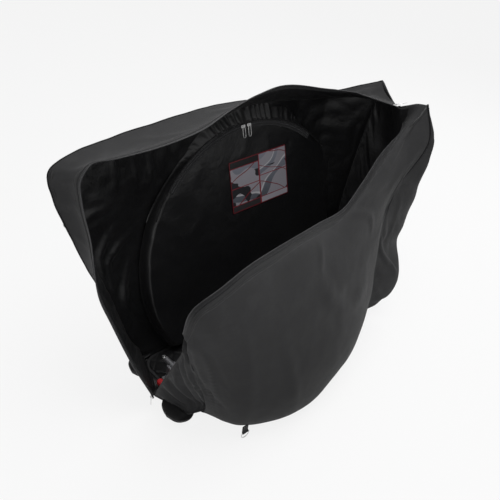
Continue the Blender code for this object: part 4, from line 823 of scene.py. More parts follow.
class Finish(Nodes):
    """A material being written."""

    def __init__(self, name, **constants):
        self.material = bpy.data.materials.new(name)
        self.material.use_nodes = True
        super().__init__(self.material.node_tree)
        self.shader = self.tree.nodes["Principled BSDF"]
        self.set(**constants)

    def set(self, **values):
        """Sets or links the shader's sockets: base_color feeds Base Color, and so on."""
        for name, value in values.items():
            self.feed(self.shader.inputs[name.replace("_", " ").title().replace("Ior", "IOR")], value)

    def place(self):
        return self.node("ShaderNodeTexCoord", output="Object")

    def metres(self):
        """Cloth coordinates along and down, in metres."""
        both = self.node("ShaderNodeUVMap", {"uv_map": "cloth"})
        return (self.node("ShaderNodeSeparateXYZ", None, {0: both}, output=k) for k in (0, 1))

    def noise(self, scale, detail=3.0, roughness=0.5, where=None):
        values = {"Vector": where or self.place(), "Scale": scale, "Detail": detail, "Roughness": roughness}
        return self.node("ShaderNodeTexNoise", None, values)

    def ramp(self, value, *stops):
        return self.node("ShaderNodeValToRGB", {"stops": stops}, {0: value})

    def spots(self, scale, detail, low, high, roughness=0.7):
        """Patches that come up out of noise between two of its levels."""
        return self.ramp(self.noise(scale, detail, roughness), (low, 0.0), (high, 1.0))

    def blend(self, share, first, second):
        """A colour between two, by a share."""
        return self.node("ShaderNodeMix", {"data_type": "RGBA"}, {0: share, 6: first, 7: second}, output=2)

    def toned(self, colour, share, low, high, *layers):
        """A colour between two of its tones by a share, then layers of it: where each lies, and its tone."""
        tone = self.blend(share, scaled(colour, low), scaled(colour, high))
        for where, factor in layers:
            tone = self.blend(where, tone, scaled(colour, factor))
        return tone

    def bumps(self, *layers):
        """A surface's normal from layers of height, strength and distance, each on the one before."""
        normal = None
        for height, strength, distance in layers:
            values = {"Height": height, "Strength": strength, "Distance": distance}
            if normal:
                values["Normal"] = normal
            normal = self.node("ShaderNodeBump", None, values)
        return normal


def scaled(colour, factor):
    return tuple(min(c * factor, 1.0) for c in colour)


def weave_of(along, down, pitch):
    """The height of a plain weave with threads pitch apart: each thread arches over, then under."""
    warp, weft = along / pitch, down / pitch
    over = (warp.floor() + weft.floor()) % 2
    return abs((warp * math.pi).sine()) * over + abs((weft * math.pi).sine()) * (1 - over)


def woven_fabric(name, colour, pitch, roughness, sheen, wear, band=0.0):
    """Coated woven polyester: plain weave, painted shade between its threads, soft tone changes, pale rubbed
    places, a dark band at an edge, and painted shade lower down a wall.
    """
    made = Finish(name, sheen_weight=sheen, sheen_roughness=0.45, specular_ior_level=0.10)
    along, down = made.metres()
    weave = weave_of(along, down, pitch)
    cloud, rub = made.noise(5.0, 4.0, 0.6), made.spots(14.0, 6.0, 0.52, 0.78)
    # Painted shade: the colour is darker where the weave is low, between the threads
    tones = [(made.noise(90.0, 3.0, 0.65) * 0.35, 0.62), (rub * wear, 1.9), ((1 - weave) * 0.35, 0.45)]
    heights = [(weave, 0.35, 0.0003), (made.noise(22.0, 5.0, 0.6), 0.30, 0.0035)]
    if band:
        # Painted shade: the colour darkens from 0.10 m to 0.52 m down from the zip edge, standing in for
        # shade on the lower wall
        tones += [(made.ramp(down, (0.10, 0.0), (0.52, 1.0)) * 0.62, 0.3), ((down < band) * 0.40, 0.35)]
        heights.append((made.ramp(abs(down - band) / band, (0.0, 0.0), (0.14, 1.0)), 0.6, 0.0012))
    made.set(base_color=made.toned(colour, cloud, 0.80, 1.22, *tones), normal=made.bumps(*heights),
             roughness=roughness + (cloud - 0.5) * 0.16 + rub * 0.05)
    return made.material


def coated_lining(name, colour):
    """Black coated nylon: glossy, with fine crinkles and a faint ripstop grid."""
    made = Finish(name, specular_ior_level=0.34, sheen_weight=0.02, sheen_roughness=0.4)
    along, down = made.metres()
    grid = ((along / 0.005) % 1 < 0.10).larger((down / 0.005) % 1 < 0.10)
    cloud, crinkle = made.noise(7.0, 4.0, 0.6), made.noise(34.0, 6.0, 0.62)
    made.set(base_color=made.toned(colour, cloud, 0.75, 1.35, (grid * 0.5, 1.7)),
             roughness=0.30 + cloud * 0.16 + grid * 0.05,
             normal=made.bumps((weave_of(along, down, 0.0006), 0.25, 0.0002),
                               (abs(crinkle - 0.5) * 2, 0.45, 0.0030)))
    return made.material


def ribbed_webbing(name, colour, pitch=0.0014):
    """Woven webbing: ribs across the strap, threads along it, painted shade in their troughs and painted
    highlight on their crests.
    """
    made = Finish(name, sheen_weight=0.1, sheen_roughness=0.5, specular_ior_level=0.25)
    along, down = made.metres()
    height = (abs((along * (math.pi / pitch)).sine()) * 0.7
              + abs((down * (math.pi / (pitch * 0.7))).sine()) * 0.3)
    cloud = made.noise(30.0, 4.0, 0.6)
    pale = made.ramp(cloud, (0.55, 0.0), (0.8, 1.0)) * 0.4
    # Painted shade and highlight: the colour is darker in the rib troughs and lighter on the rib crests
    made.set(base_color=made.toned(colour, height, 0.5, 1.35, (pale, 2.4)), roughness=0.62 + cloud * 0.2,
             normal=made.bumps((height, 0.5, 0.0005)))
    return made.material


def sewing_thread(name, colour):
    """Twisted thread, paler and darker along its twist."""
    made = Finish(name, sheen_weight=0.3, sheen_roughness=0.5)
    twist = made.noise(900.0, 2.0)
    made.set(base_color=made.toned(colour, twist, 0.7, 1.3), roughness=0.55 + twist * 0.2,
             normal=made.bumps((twist, 0.3, 0.0002)))
    return made.material


def moulded_plastic(name, colour, roughness):
    """Moulded plastic: a fine grain, scuffs and slightly uneven gloss."""
    made = Finish(name, specular_ior_level=0.5)
    cloud, scuff = made.noise(12.0, 3.0), made.spots(60.0, 8.0, 0.60, 0.72, 0.75)
    made.set(base_color=made.toned(colour, cloud, 0.85, 1.15, (scuff * 0.35, 2.2)),
             roughness=roughness + cloud * 0.08 + scuff * 0.12,
             normal=made.bumps((made.noise(700.0, 2.0), 0.25, 0.0002)))
    return made.material


def worn_metal(name, colour, roughness, brush=(1.0, 1.0, 1.0)):
    """Bare or plated metal: brushed streaks, dull spots, fine scratches."""
    made = Finish(name, specular_ior_level=0.5, metallic=1.0)
    stretch = made.node("ShaderNodeVectorMath", {"operation": "MULTIPLY"}, {0: made.place(), 1: brush})
    streak, dull = made.noise(420.0, 4.0, 0.6, stretch), made.spots(80.0, 5.0, 0.58, 0.74)
    made.set(base_color=made.toned(colour, streak, 0.82, 1.12, (dull * 0.4, 0.55)),
             roughness=roughness + streak * 0.12 + dull * 0.18, normal=made.bumps((streak, 0.12, 0.0001)))
    return made.material


def tread_rubber(name):
    """Dark rubber with a dusty tread."""
    made = Finish(name, specular_ior_level=0.3)
    dust = made.spots(26.0, 6.0, 0.48, 0.75)
    made.set(base_color=made.blend(dust * 0.5, (0.018, 0.018, 0.018), (0.11, 0.105, 0.10)),
             roughness=0.72 + dust * 0.2, normal=made.bumps((made.noise(500.0, 3.0, 0.6), 0.4, 0.0003)))
    return made.material


def printed_card(name):
    """A plain card: a dark header, four panels of slanting pale and slate shapes, thin red lines."""
    paper, red = colours().card_paper, colours().card_edge
    made = Finish(name, specular_ior_level=0.4, coat_weight=0.2, coat_roughness=0.25)
    across, up = made.metres()
    left, foot = across < 0.5, up < 0.13
    lines = abs(across - 0.5) < 0.011
    for height in (left * 0.86 + (1 - left) * 0.985, left * 0.47 + (1 - left) * 0.56, 0.13):
        lines = lines.larger(abs(up - height) < 0.008)
    wash = made.noise(5.0, 2.0)
    place = made.node("ShaderNodeCombineXYZ", None, {0: across * 1.4 + left * 3, 1: up * 1.2, 2: 0.7})
    drift, patch = made.noise(1.1, 1.0, 0.4, place), made.noise(2.3, 1.5, 0.5, place)
    stripe = (((left * 2 - 1) * across * 1.1 + up * 1.1 + drift * 1.3) * 1.7) % 1
    strand = ((across * 0.9 + up * (1.3 - left * 2.2) + drift * 0.4) * 2.1) % 1
    slate = made.blend(up, (0.060, 0.068, 0.080), (0.20, 0.21, 0.25))
    drawn = made.blend(stripe < 0.34, made.toned(paper, wash, 0.8, 1.15), slate)
    edge = (across < 0.012).larger(across > 0.988).larger(up < 0.018).larger(up > 0.982)
    for where, shade in ((abs(stripe - 0.40) < 0.035, (0.45, 0.45, 0.47)),
                         ((patch > 0.53) * (up < 0.72), (0.022, 0.022, 0.025)),
                         (abs(strand - 0.5) < 0.02, scaled(red, 0.8)),
                         (foot * left, (0.030, 0.028, 0.030)),
                         (foot * (1 - left), scaled(paper, 1.1)),
                         (lines, red),
                         (left * (up > 0.868), (0.012, 0.012, 0.013)),
                         (edge, scaled(red, 0.6))):
        drawn = made.blend(where, drawn, shade)
    made.set(base_color=drawn, roughness=0.34 + wash * 0.12, normal=made.bumps((wash, 0.2, 0.0008)))
    return made.material


FINISHES = {}


def finish(name):
    """Each material, made the first time that it is asked for."""
    if name not in FINISHES:
        shades = colours()
        makers = {
            "outer_fabric": (woven_fabric, shades.outer, 0.0008, 0.68, 0.05, 0.35),
            # brim_fabric carries painted shade: each wall is darker in colour further down from its zip edge
            "brim_fabric": (woven_fabric, shades.outer, 0.0008, 0.68, 0.05, 0.35, sizes().band),
            "boot_fabric": (woven_fabric, scaled(shades.outer, 0.35), 0.0008, 0.6, 0.04, 0.3),
            "lining": (coated_lining, shades.lining),
            "webbing": (ribbed_webbing, shades.webbing),
            "zip_tape": (ribbed_webbing, shades.webbing, 0.0009),
            "zip_teeth": (moulded_plastic, (0.022, 0.022, 0.024), 0.32),
            "piping": (woven_fabric, shades.webbing, 0.0006, 0.52, 0.12, 0.3),
            "thread": (sewing_thread, shades.thread),
            "card": (printed_card,),
            "black_plastic": (moulded_plastic, (0.020, 0.020, 0.021), 0.42),
            "red_plastic": (moulded_plastic, shades.accent, 0.34),
            "aluminium": (worn_metal, (0.40, 0.40, 0.42), 0.34, (0.05, 1.0, 1.0)),
            "steel": (worn_metal, (0.60, 0.60, 0.60), 0.24),
            "rubber": (tread_rubber,),
        }
        maker, *looks = makers[name]
        FINISHES[name] = maker(name, *looks)
    return FINISHES[name]


# Cloth grids of the walls

def mat_top():
    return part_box("base_mat")[1].z


def own_box(node):
    """A node's box in the bag's own frame."""
    return (Vector(corner) - Vector(SHIFT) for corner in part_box(node))


def far_wall_y(x, z):
    """Where the far wall's outer face lies: straight from foot to top seam, plus a bulge."""
    bag = sizes()
    top = places(FAR_TOP_SHARES)
    seam_y, seam_z = (np.interp(x, top[:, 0], top[:, k]) for k in (1, 2))
    rise = np.clip((z - mat_top()) / (seam_z - mat_top()), 0.0, 1.0)
    fade = smooth_step(x, *(share * bag.length for share in BULGE_FRONT_SHARES))
    fade = fade * (1.0 - smooth_step(x, *(share * bag.length for share in BULGE_REAR_SHARES)))
    foot = BOARD_HIGH.y - SHIFT[1] + SEAT_GAP + bag.wall
    return foot + (seam_y - foot) * rise + bag.bulge * fade * np.sin(np.pi * rise)


def far_grid(strip_rows, wall_rows):
    """The far half from its zip edge over the seam and down the wall to its foot."""
    bag = sizes()
    front, top = even(FAR_FRONT_COLUMNS * FINE), even(FAR_TOP_COLUMNS * FINE)
    zip_front = smooth_at(places(FAR_ZIP_FRONT_SHARES), front)
    zip_top = smooth_at(places(FAR_ZIP_TOP_SHARES), top)
    end = 2 * FINE
    share = even(end)[:, None]
    zip_front[:end + 1] = zip_front[0] * (1 - share) + zip_front[end] * share
    zip_top[-end - 1:] = zip_top[-end - 1] * (1 - share) + zip_top[-1] * share
    seam = np.vstack([smooth_at(places(FAR_FRONT_SHARES), front), smooth_at(places(FAR_TOP_SHARES), top)[1:]])
    edge = np.vstack([zip_front, zip_top[1:]])
    for line, reach, rounds in ((edge, 5, 8), (seam, 6, 12)):
        ease(line[len(front) - 1 - reach:len(front) + reach], rounds)
    share = np.concatenate([front * FRONT_FOOT_SHARE, FRONT_FOOT_SHARE + top[1:] * (1 - FRONT_FOOT_SHARE)])
    foot_x = seam[0, 0] + share * (FAR_FOOT_END_SHARE * bag.length - seam[0, 0])
    seam[:, 1] = far_wall_y(seam[:, 0], seam[:, 2])
    outward = unit(np.cross(np.gradient(seam, axis=0), edge - seam))
    rows = [edge + (seam - edge) * part + outward * bag.strip_bulge * math.sin(math.pi * part)
            for part in even(strip_rows)[:-1]]
    for part in even(wall_rows):
        x = seam[:, 0] + (foot_x - seam[:, 0]) * part
        z = seam[:, 2] + (mat_top() - seam[:, 2]) * part
        rows.append(np.stack([x, far_wall_y(x, z), z], axis=1))
    last = rows[-1].copy()
    last[:, 2] = BOARD_LOW.z
    return np.array(rows + [last])


def near_foot_line():
    """The lower edge of the near half, a straight line just outside the hem."""
    bag = sizes()
    y = -(BOARD_NEAR + SEAT_GAP + WELT_RADIUS) - WELT_RADIUS - SEAT_GAP * 2
    z = BOARD_HIGH.z - WELT_RADIUS - bag.wall / 2
    low = places(NEAR_SHARES[-1])
    ends = np.array([(low[0, 0] - bag.wall, y, z), (low[-1, 0], y, z)])
    return np.array([ends[0], ends.mean(axis=0), ends[1]])


def near_grid(columns, rows, rear_gap):
    """The near half from its zip edge down the slumped side to its foot."""
    guides = [places(table) for table in NEAR_SHARES] + [near_foot_line()]
    grid = loft(guides, even(columns), even(rows))
    piping = smooth_at(places(PIPING_SHARES), even(300))
    away = np.linalg.norm(grid[:, -1:] - piping[None], axis=2)
    pull = piping[away.argmin(axis=1)] - grid[:, -1]
    pull *= 1 - smooth_step(away.min(axis=1), *SEAM_REACH)[:, None]
    by_seam, by_edge = (smooth_step(np.arange(columns + 1), columns - reach * FINE, columns)[None, :, None]
                        for reach in (4, 2))
    grid += pull[:, None] * by_seam
    gap = unit(grid[:, -2] - grid[:, -1]) * rear_gap
    return grid + gap[:, None] * by_edge


def gusset_grid(columns, rows):
    """The crumpled triangle between the zip's lower end and the near half's front crease."""
    crease, edge = (smooth_at(places(table), even(columns)) for table in (CREASE_SHARES, GUSSET_ZIP_SHARES))
    seam = edge + (crease - edge) * CREASE_SEAM_SHARE
    return np.array([edge + (seam - edge) * part for part in even(rows)])


def rear_grid(columns, rows):
    """The rear end, from the piping round to the far wall's rear edge."""
    rails = [smooth_at(places(table), even(rows)) for table in [PIPING_SHARES] + REAR_SHARES]
    rails[0] = rails[0] + unit(rails[1] - rails[0]) * PIPING_RADIUS
    far = far_grid(3, 30)[3:, -1][::-1].copy()
    far[:, 1] -= REAR_SEAM_INSET
    far[-1, 2] -= REAR_SEAM_DROP
    rails = np.array(rails + [smooth_at(far, even(rows))])
    return np.stack([smooth_at(rails[:, i], even(columns)) for i in range(rows + 1)], axis=0)


# Folds that the cloth hangs in: line in shares along and down, width, height

FAR_OUTER_FOLDS = [
    ([(0.385, 0.02), (0.375, 0.09), (0.36, 0.16)], 0.015, 0.0075),
    ([(0.405, 0.02), (0.400, 0.08), (0.395, 0.15)], 0.014, 0.0075),
    ([(0.345, 0.03), (0.335, 0.10), (0.33, 0.16)], 0.016, 0.0065),
    ([(0.430, 0.02), (0.445, 0.07), (0.47, 0.13)], 0.015, 0.0065),
    ([(0.460, 0.03), (0.500, 0.07), (0.54, 0.13)], 0.016, 0.0055),
    ([(0.500, 0.13), (0.55, 0.08), (0.60, 0.03)], 0.015, 0.0050),
    ([(0.64, 0.14), (0.69, 0.08), (0.73, 0.02)], 0.016, 0.0045),
    ([(0.20, 0.03), (0.22, 0.08), (0.21, 0.15)], 0.015, 0.0045),
    ([(0.28, 0.03), (0.27, 0.08), (0.28, 0.15)], 0.015, 0.0040),
]
FAR_LINING_FOLDS = [
    ([(0.22, 0.36), (0.32, 0.41), (0.43, 0.44)], 0.015, 0.015),
    ([(0.22, 0.44), (0.33, 0.48), (0.45, 0.50)], 0.014, 0.014),
    ([(0.20, 0.56), (0.30, 0.58), (0.42, 0.58)], 0.016, 0.014),
    ([(0.30, 0.27), (0.36, 0.32), (0.43, 0.37)], 0.015, 0.013),
    ([(0.537, 0.19), (0.535, 0.28), (0.515, 0.40)], 0.014, 0.016),
    ([(0.510, 0.18), (0.505, 0.28), (0.490, 0.38)], 0.014, 0.014),
    ([(0.480, 0.17), (0.470, 0.26), (0.45, 0.34)], 0.014, 0.014),
    ([(0.567, 0.18), (0.567, 0.25), (0.555, 0.33)], 0.015, 0.012),
    ([(0.52, 0.07), (0.525, 0.12), (0.53, 0.16)], 0.014, 0.010),
    ([(0.49, 0.07), (0.495, 0.12), (0.50, 0.16)], 0.014, 0.010),
    ([(0.60, 0.16), (0.61, 0.21), (0.60, 0.27)], 0.015, 0.009),
]
NEAR_OUTER_FOLDS = [
    ([(0.022, 0.10), (0.018, 0.35), (0.022, 0.60), (0.045, 0.85)], 0.010, 0.0060),
    ([(0.060, 0.12), (0.050, 0.35), (0.047, 0.60), (0.070, 0.85)], 0.012, 0.0055),
    ([(0.105, 0.14), (0.095, 0.40), (0.090, 0.70)], 0.015, 0.0045),
    ([(0.610, 0.03), (0.68, 0.10), (0.75, 0.19), (0.79, 0.30)], 0.014, 0.0085),
    ([(0.640, 0.04), (0.73, 0.08), (0.84, 0.15)], 0.013, 0.0075),
    ([(0.475, 0.04), (0.483, 0.10), (0.480, 0.17)], 0.014, 0.0045),
    ([(0.47, 0.16), (0.52, 0.30), (0.62, 0.42), (0.74, 0.50)], 0.034, 0.0100),
    ([(0.86, 0.05), (0.90, 0.12), (0.95, 0.17)], 0.012, 0.0060),
    ([(0.30, 0.30), (0.31, 0.50), (0.33, 0.72)], 0.024, 0.0045),
    ([(0.19, 0.12), (0.17, 0.40), (0.16, 0.66)], 0.020, 0.0040),
]
REAR_FOLDS = [
    ([(0.05, 0.62), (0.14, 0.50), (0.18, 0.36)], 0.012, 0.006),
    ([(0.03, 0.40), (0.10, 0.30), (0.20, 0.24)], 0.012, 0.006),
    ([(0.04, 0.76), (0.12, 0.70), (0.24, 0.66)], 0.012, 0.005),
    ([(0.30, 0.20), (0.42, 0.34), (0.46, 0.52)], 0.016, 0.005),
    ([(0.62, 0.22), (0.60, 0.40), (0.64, 0.60)], 0.016, 0.005),
]


class BAG_OT_far_wall(bpy.types.Operator):
    """Build the far half: the padded wall with its front and top strips"""
    bl_idname = "bag.far_wall"
    bl_label = "Far wall"

    def execute(self, context):
        grid = far_grid(STRIP_ROWS, WALL_ROWS)
        groove = SEAM_GROOVE * np.exp(-((np.arange(len(grid)) - STRIP_ROWS) / SEAM_ROWS) ** 2)[:, None]
        broad, fine = (unevenness(grid, *waves) for waves in FAR_WAVES)
        rise = fold_rise(grid, FAR_OUTER_FOLDS) + broad
        rise += fine - groove
        skin, outward, fade = skin_of(grid, rise, *FAR_CLOTH)
        folds = fold_rise(grid, FAR_LINING_FOLDS) + np.abs(unevenness(grid, *FAR_SLACK))
        lining = skin - outward * (sizes().wall + folds * fade)[..., None]
        wall = finer(padded_wall("far_wall", skin, lining, "brim_fabric"))
        dressed(wall, "root", "outer_fabric", "far_shell", fill=0.35)
        edge_stitching("far", skin, outward, slice(2, -2), "root")
        up = outward[STRIP_ROWS]
        trim("far_seam_piping", rounded_row(skin, STRIP_ROWS) + up * SEWING_LIFT, up, SEAM_RADIUS, 8)
        return {"FINISHED"}


class BAG_OT_near_wall(bpy.types.Operator):
    """Build the near half, slumped outwards, with the topstitching along its brim"""
    bl_idname = "bag.near_wall"
    bl_label = "Near wall"

    def execute(self, context):
        grid = near_grid(NEAR_COLUMNS * FINE, NEAR_ROWS * 7, PIPING_RADIUS)
        broad, fine = (unevenness(grid, *waves) for waves in NEAR_WAVES)
        skin, outward, fade = skin_of(grid, fold_rise(grid, NEAR_OUTER_FOLDS) + broad + fine, *NEAR_CLOTH)
        folds = np.abs(unevenness(grid, *NEAR_SLACK))
        lining = skin - outward * (sizes().wall + folds * fade)[..., None]
        wall = finer(padded_wall("near_wall", skin, lining, "brim_fabric"))
        dressed(wall, near_blend, "outer_fabric", "near_shell", "near_rear_panel", fill=0.35)
        edge_stitching("near", skin, outward, slice(1, -2), near_blend)
        return {"FINISHED"}


class BAG_OT_front_gusset(bpy.types.Operator):
    """Build the crumpled triangle between the zip's lower end and the near half's crease"""
    bl_idname = "bag.front_gusset"
    bl_label = "Front gusset"

    def execute(self, context):
        grid = gusset_grid(GUSSET_COLUMNS * 8, 48)[:, :-1]
        along, down = even(grid.shape[1] - 1)[None, :], even(grid.shape[0] - 1)[:, None]
        turn = np.arctan2(1 + FAN_OFFSET - down, FAN_ASPECT * along + FAN_OFFSET)
        away = np.hypot(1.0 - down, FAN_ASPECT * along)
        fan = np.sin(turn * FAN_FOLDS + FAN_WANDER * unevenness(grid, *FAN_WAVES))
        rise = FAN_HEIGHT * (fan * smooth_step(away, *FAN_FADE)) + unevenness(grid, *GUSSET_WAVES)
        skin, outward, _ = skin_of(grid, rise, *GUSSET_CLOTH)
        wall = finer(padded_wall("front_gusset", skin, skin - outward * sizes().gusset, "outer_fabric"))
        dressed(wall, gusset_blend, "outer_fabric", "near_front_gusset", fill=0.2)
        return {"FINISHED"}


def board_edge(line):
    """The nearest places on the board's rounded outline, just inside it."""
    low = np.array(BOARD_LOW)[:2] - SHIFT[:2] + BOARD_CORNER
    high = np.array(BOARD_HIGH)[:2] - SHIFT[:2] - BOARD_CORNER
    core = np.clip(line[:, :2], low, high)
    edge = line.copy()
    edge[:, :2] = core + unit(line[:, :2] - core) * (BOARD_CORNER - SEAT_GAP)
    edge[:, 2] = BOARD_LOW.z + sizes().gusset / 2
    return edge


def skirt(name, brim, outward, sag, carrier):
    """Cloth from the foot of a wall to the board's edge, hanging a little."""
    board, outward = board_edge(brim), unit(np.array(outward))
    skin = np.array([brim + (board - brim) * part + outward * sag * math.sin(math.pi * part)
                     for part in even(12)])
    skin += (unevenness(skin, SKIRT_WAVE, sag / 2, 11) * edge_fade(skin, 2, 2, 3, 3))[..., None] * outward
    cloth = finer(padded_wall(name, skin, skin - outward * sizes().gusset / 2, "boot_fabric"))
    dressed(cloth, carrier, "outer_fabric", fill=0.2)


class BAG_OT_skirts(bpy.types.Operator):
    """Build the cloth that closes the bag's bottom at both ends, sewn to the board"""
    bl_idname = "bag.skirts"
    bl_label = "End skirts"

    def execute(self, context):
        near = gusset_grid(GUSSET_COLUMNS, 30)[::-1, 0]
        wall = far_grid(30, 2)
        lap = wall[-1][wall[-1, :, 0] < BOARD_FRONT + SKIRT_LAP] - (0, sizes().wall / 2, 0)
        brim = smooth_at(np.vstack([near, wall[:31, 0], lap[1:]]), even(130)) + (SKIRT_TUCK, 0, 0)
        skirt("front_skirt", brim, FRONT_SKIRT_OUT, SKIRT_SAG, gusset_blend)
        foot = rear_grid(60, 20)[0]
        lap = np.array([foot[-1] - (SKIRT_LAP * part, 0, 0) for part in even(20)[1:]])
        brim = np.vstack([foot, lap]) - (SKIRT_TUCK, 0, 0)
        skirt("rear_skirt", brim, REAR_SKIRT_OUT, SKIRT_SAG / 3, "root")
        return {"FINISHED"}


class BAG_OT_rear_end(bpy.types.Operator):
    """Build the rear end and the piping that joins it to the near half"""
    bl_idname = "bag.rear_end"
    bl_label = "Rear end"

    def execute(self, context):
        grid = rear_grid(70, 84)
        rise = fold_rise(grid, REAR_FOLDS) + unevenness(grid, *REAR_WAVES)
        skin, outward, _ = skin_of(grid, rise, *REAR_CLOTH)
        wall = finer(padded_wall("rear_wall", skin, skin - outward * sizes().gusset, "outer_fabric"))
        dressed(wall, "root", "outer_fabric", "rear_end", fill=0.3)
        trim("rear_piping", smooth_at(places(PIPING_SHARES), even(160)), (0.5, -1, 0), PIPING_RADIUS, 12)
        trim("rear_top_binding", rounded_row(skin[::-1], 1), (0, 0, 1), BINDING_RADIUS, 10)
        trim("rear_far_piping", skin[:, -1] + REAR_PIPING_OFFSET, (1, 1, 0), BINDING_RADIUS, 10)
        return {"FINISHED"}


class PocketFace:
    """Where the far pocket's face lies: its arch's centre, its directions and the card's corner."""

    def __init__(self):
        bag = sizes()
        x = ARCH_CENTRE_X_SHARE * bag.length
        low_z, top_z = (share * bag.height for share in POCKET_PLANE_SHARES)
        low_y, top_y = far_wall_y(x, low_z) - POCKET_DEPTH_LOW, far_wall_y(x, top_z) - POCKET_DEPTH_TOP
        lean = math.atan2(top_y - low_y, top_z - low_z)
        self.right = Vector((1, 0, 0))
        self.up = Vector((0, math.sin(lean), math.cos(lean)))
        self.out = Vector((0, math.cos(lean), -math.sin(lean)))
        card_x, card_z = CARD_CORNER_SHARES[0] * bag.length, CARD_CORNER_SHARES[1] * bag.height
        self.card = Vector((card_x, low_y + (card_z - low_z) * math.tan(lean), card_z))
        self.centre = self.card - self.up * (ARCH_DROP_SHARE * bag.height) + self.right * (x - card_x)
        self.foot = mat_top() + MAT_MARGIN + bag.bulge * math.sin(lean)

    def at(self, angle, radius):
        """A place on the face at an angle from straight up and a distance from the arch's centre."""
        return self.centre + (self.right * math.sin(angle) + self.up * math.cos(angle)) * radius


def wall_behind(node):
    """A way to ask how far a node lies behind a place in the bag's own frame."""
    mesh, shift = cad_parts[node].data, Vector(SHIFT)
    tree = BVHTree.FromPolygons([v.co - shift for v in mesh.vertices],
                                [tuple(p.vertices) for p in mesh.polygons])

    def depth(place, out):
        hit = tree.ray_cast(place - out * CAST_BACK, out)[0]
        return (hit - place).dot(out) if hit else POCKET_LEAST

    return depth


def rounded_rim(share, start):
    """From 1 within a pocket's rim down to 0 at its edge, as a quarter of a circle falls."""
    return math.sqrt(max(1 - max((share - start) / (1 - start), 0) ** 2, 0))


def pocket_rings(behind, centre, right, up, out, radius, limits, shares, sides, front_of):
    """Rings of a pocket's front and of the wall behind it, cast onto the wall."""
    low_x, high_x, low_z = limits
    fronts, backs = [], []
    for share in shares:
        front, back = [], []
        for step in range(sides):
            angle = 2 * math.pi * step / sides
            cos, sin = math.cos(angle), math.sin(angle)
            reach = radius
            if cos:
                reach = min(reach, ((high_x if cos > 0 else low_x) - centre.x) / cos)
            if sin < 0:
                reach = min(reach, (low_z - centre.z) / (sin * up.z))
            place = centre + (right * cos + up * sin) * reach * share
            depth = behind(place, out)
            back.append(place + out * (depth - SEAT_GAP))
            front.append(place + out * (depth - front_of(share, depth, place)))
        fronts.append(front)
        backs.append(back)
    return np.array(fronts), np.array(backs)


def ringed_mesh(name, fronts, backs):
    """A closed pad of lining from rings of its front, out to the rim and back over its rear side."""
    rings = list(fronts[1:]) + list(backs[1:][::-1])
    sides = len(rings[0])
    points = [fronts[0][0]] + [p for ring in rings for p in ring] + [backs[0][0]]
    faces = [(0, 1 + i, 1 + (i + 1) % sides) for i in range(sides)]
    for a in range(1, 1 + (len(rings) - 1) * sides, sides):
        b = a + sides
        faces += [(a + i, b + i, b + (i + 1) % sides, a + (i + 1) % sides) for i in range(sides)]
    last = len(points) - 1
    faces += [(last - sides + (i + 1) % sides, last - sides + i, last) for i in range(sides)]
    points = np.array([tuple(p) for p in points])
    return add_mesh(name, points, faces, [finish("lining")], coordinates=points[:, [0, 2]])


class BAG_OT_far_pocket(bpy.types.Operator):
    """Build the wheel pocket on the far half and the gathered cloth above it"""
    bl_idname = "bag.far_pocket"
    bl_label = "Far wheel pocket"

    def execute(self, context):
        bag, face, behind = sizes(), PocketFace(), wall_behind("far_shell")
        limits = [share * bag.length for share in POCKET_LIMIT_SHARES] + [face.foot]

        def front_of(share, depth, place):
            lift = max(depth, POCKET_LEAST)
            rim = rounded_rim(share, POCKET_RIM_SHARE)
            wave = sum(abs(noise.noise(place / scale)) * height for scale, height in POCKET_WAVES)
            return (lift - wave * min(1, lift / WAVE_DEPTH)) * rim + SEAT_GAP * (1 - rim)

        fronts, backs = pocket_rings(behind, face.centre, face.right, face.up, face.out, bag.pocket_radius,
                                     limits, POCKET_RINGS, POCKET_SIDES, front_of)
        dressed(ringed_mesh("far_pocket_panel", fronts, backs), "root", "lining", "far_pocket", fill=0.3)
        self.gathers(face, behind)
        return {"FINISHED"}

    def gathers(self, face, behind):
        """A gathered band from the pocket's rim up to the wall."""
        low, high = (math.radians(end) for end in GATHER_ENDS_DEG)
        radius = sizes().pocket_radius
        inner = radius - GATHER_UNDERLAP
        steps, rows = GATHER_GRID
        grid = np.empty((rows + 1, steps + 1, 3))
        cut_length = cut_area = cut_width = 0.0
        normal = np.array(face.out)
        for c in range(steps + 1):
            share = c / steps
            angle = low + (high - low) * share
            wander = noise.noise(Vector((share * 7, 3.1, 0)))
            jitter = noise.noise(Vector((share * 31, 0.4, 7.7)))
            pleat = math.sin(2 * math.pi * (GATHER_PLEATS * share + 1.9 * wander + 0.30 * jitter))
            pleat = (0.5 + 0.5 * pleat) ** 1.6 * (0.75 + 0.9 * jitter)
            away = math.degrees(angle) - GATHER_MIDDLE_DEG
            full = math.exp(-(away / GATHER_FULL_DEG) ** 4)
            broad = GATHER_NARROW + GATHER_SWELL * math.exp(-(away / GATHER_BROAD_DEG) ** 4)
            cut_step = (high - low) / (steps + 1) * (inner + broad / 2) * (1 + GATHER_FULLNESS * full)
            cut_length += cut_step
            cut_area += cut_step * broad
            cut_width = max(cut_width, broad)
            ends = min(share, 1 - share) * 10
            for r in range(rows + 1):
                part = r / rows
                place = face.at(angle - (0.034 + 0.03 * wander) * part, inner + broad * part)
                depth = behind(place, face.out)
                rise = 0.003 + max(depth, POCKET_LEAST) * (1 - part) ** 1.4
                swell = math.sin(math.pi * min(part * 0.85 + 0.10, 1)) * min(ends, 1)
                swell *= 0.0012 + 0.0098 * full
                lift = rise * min(1, 0.35 + ends) + swell * (pleat + 0.10 + 0.5 * wander)
                grid[r, c] = np.array(place) + normal * (depth - lift)
        band = padded_wall("pocket_gathers", grid, grid + normal * GATHER_THICKNESS, "lining")
        dressed(band, "root", "lining")
        rim = [face.at(low + (high - low) * share, radius - RIM_PIPING_INSET) - face.out * GATHER_THICKNESS
               for share in even(120)]
        trim("pocket_rim_piping", [tuple(p) for p in rim], -normal, BINDING_RADIUS, 10)


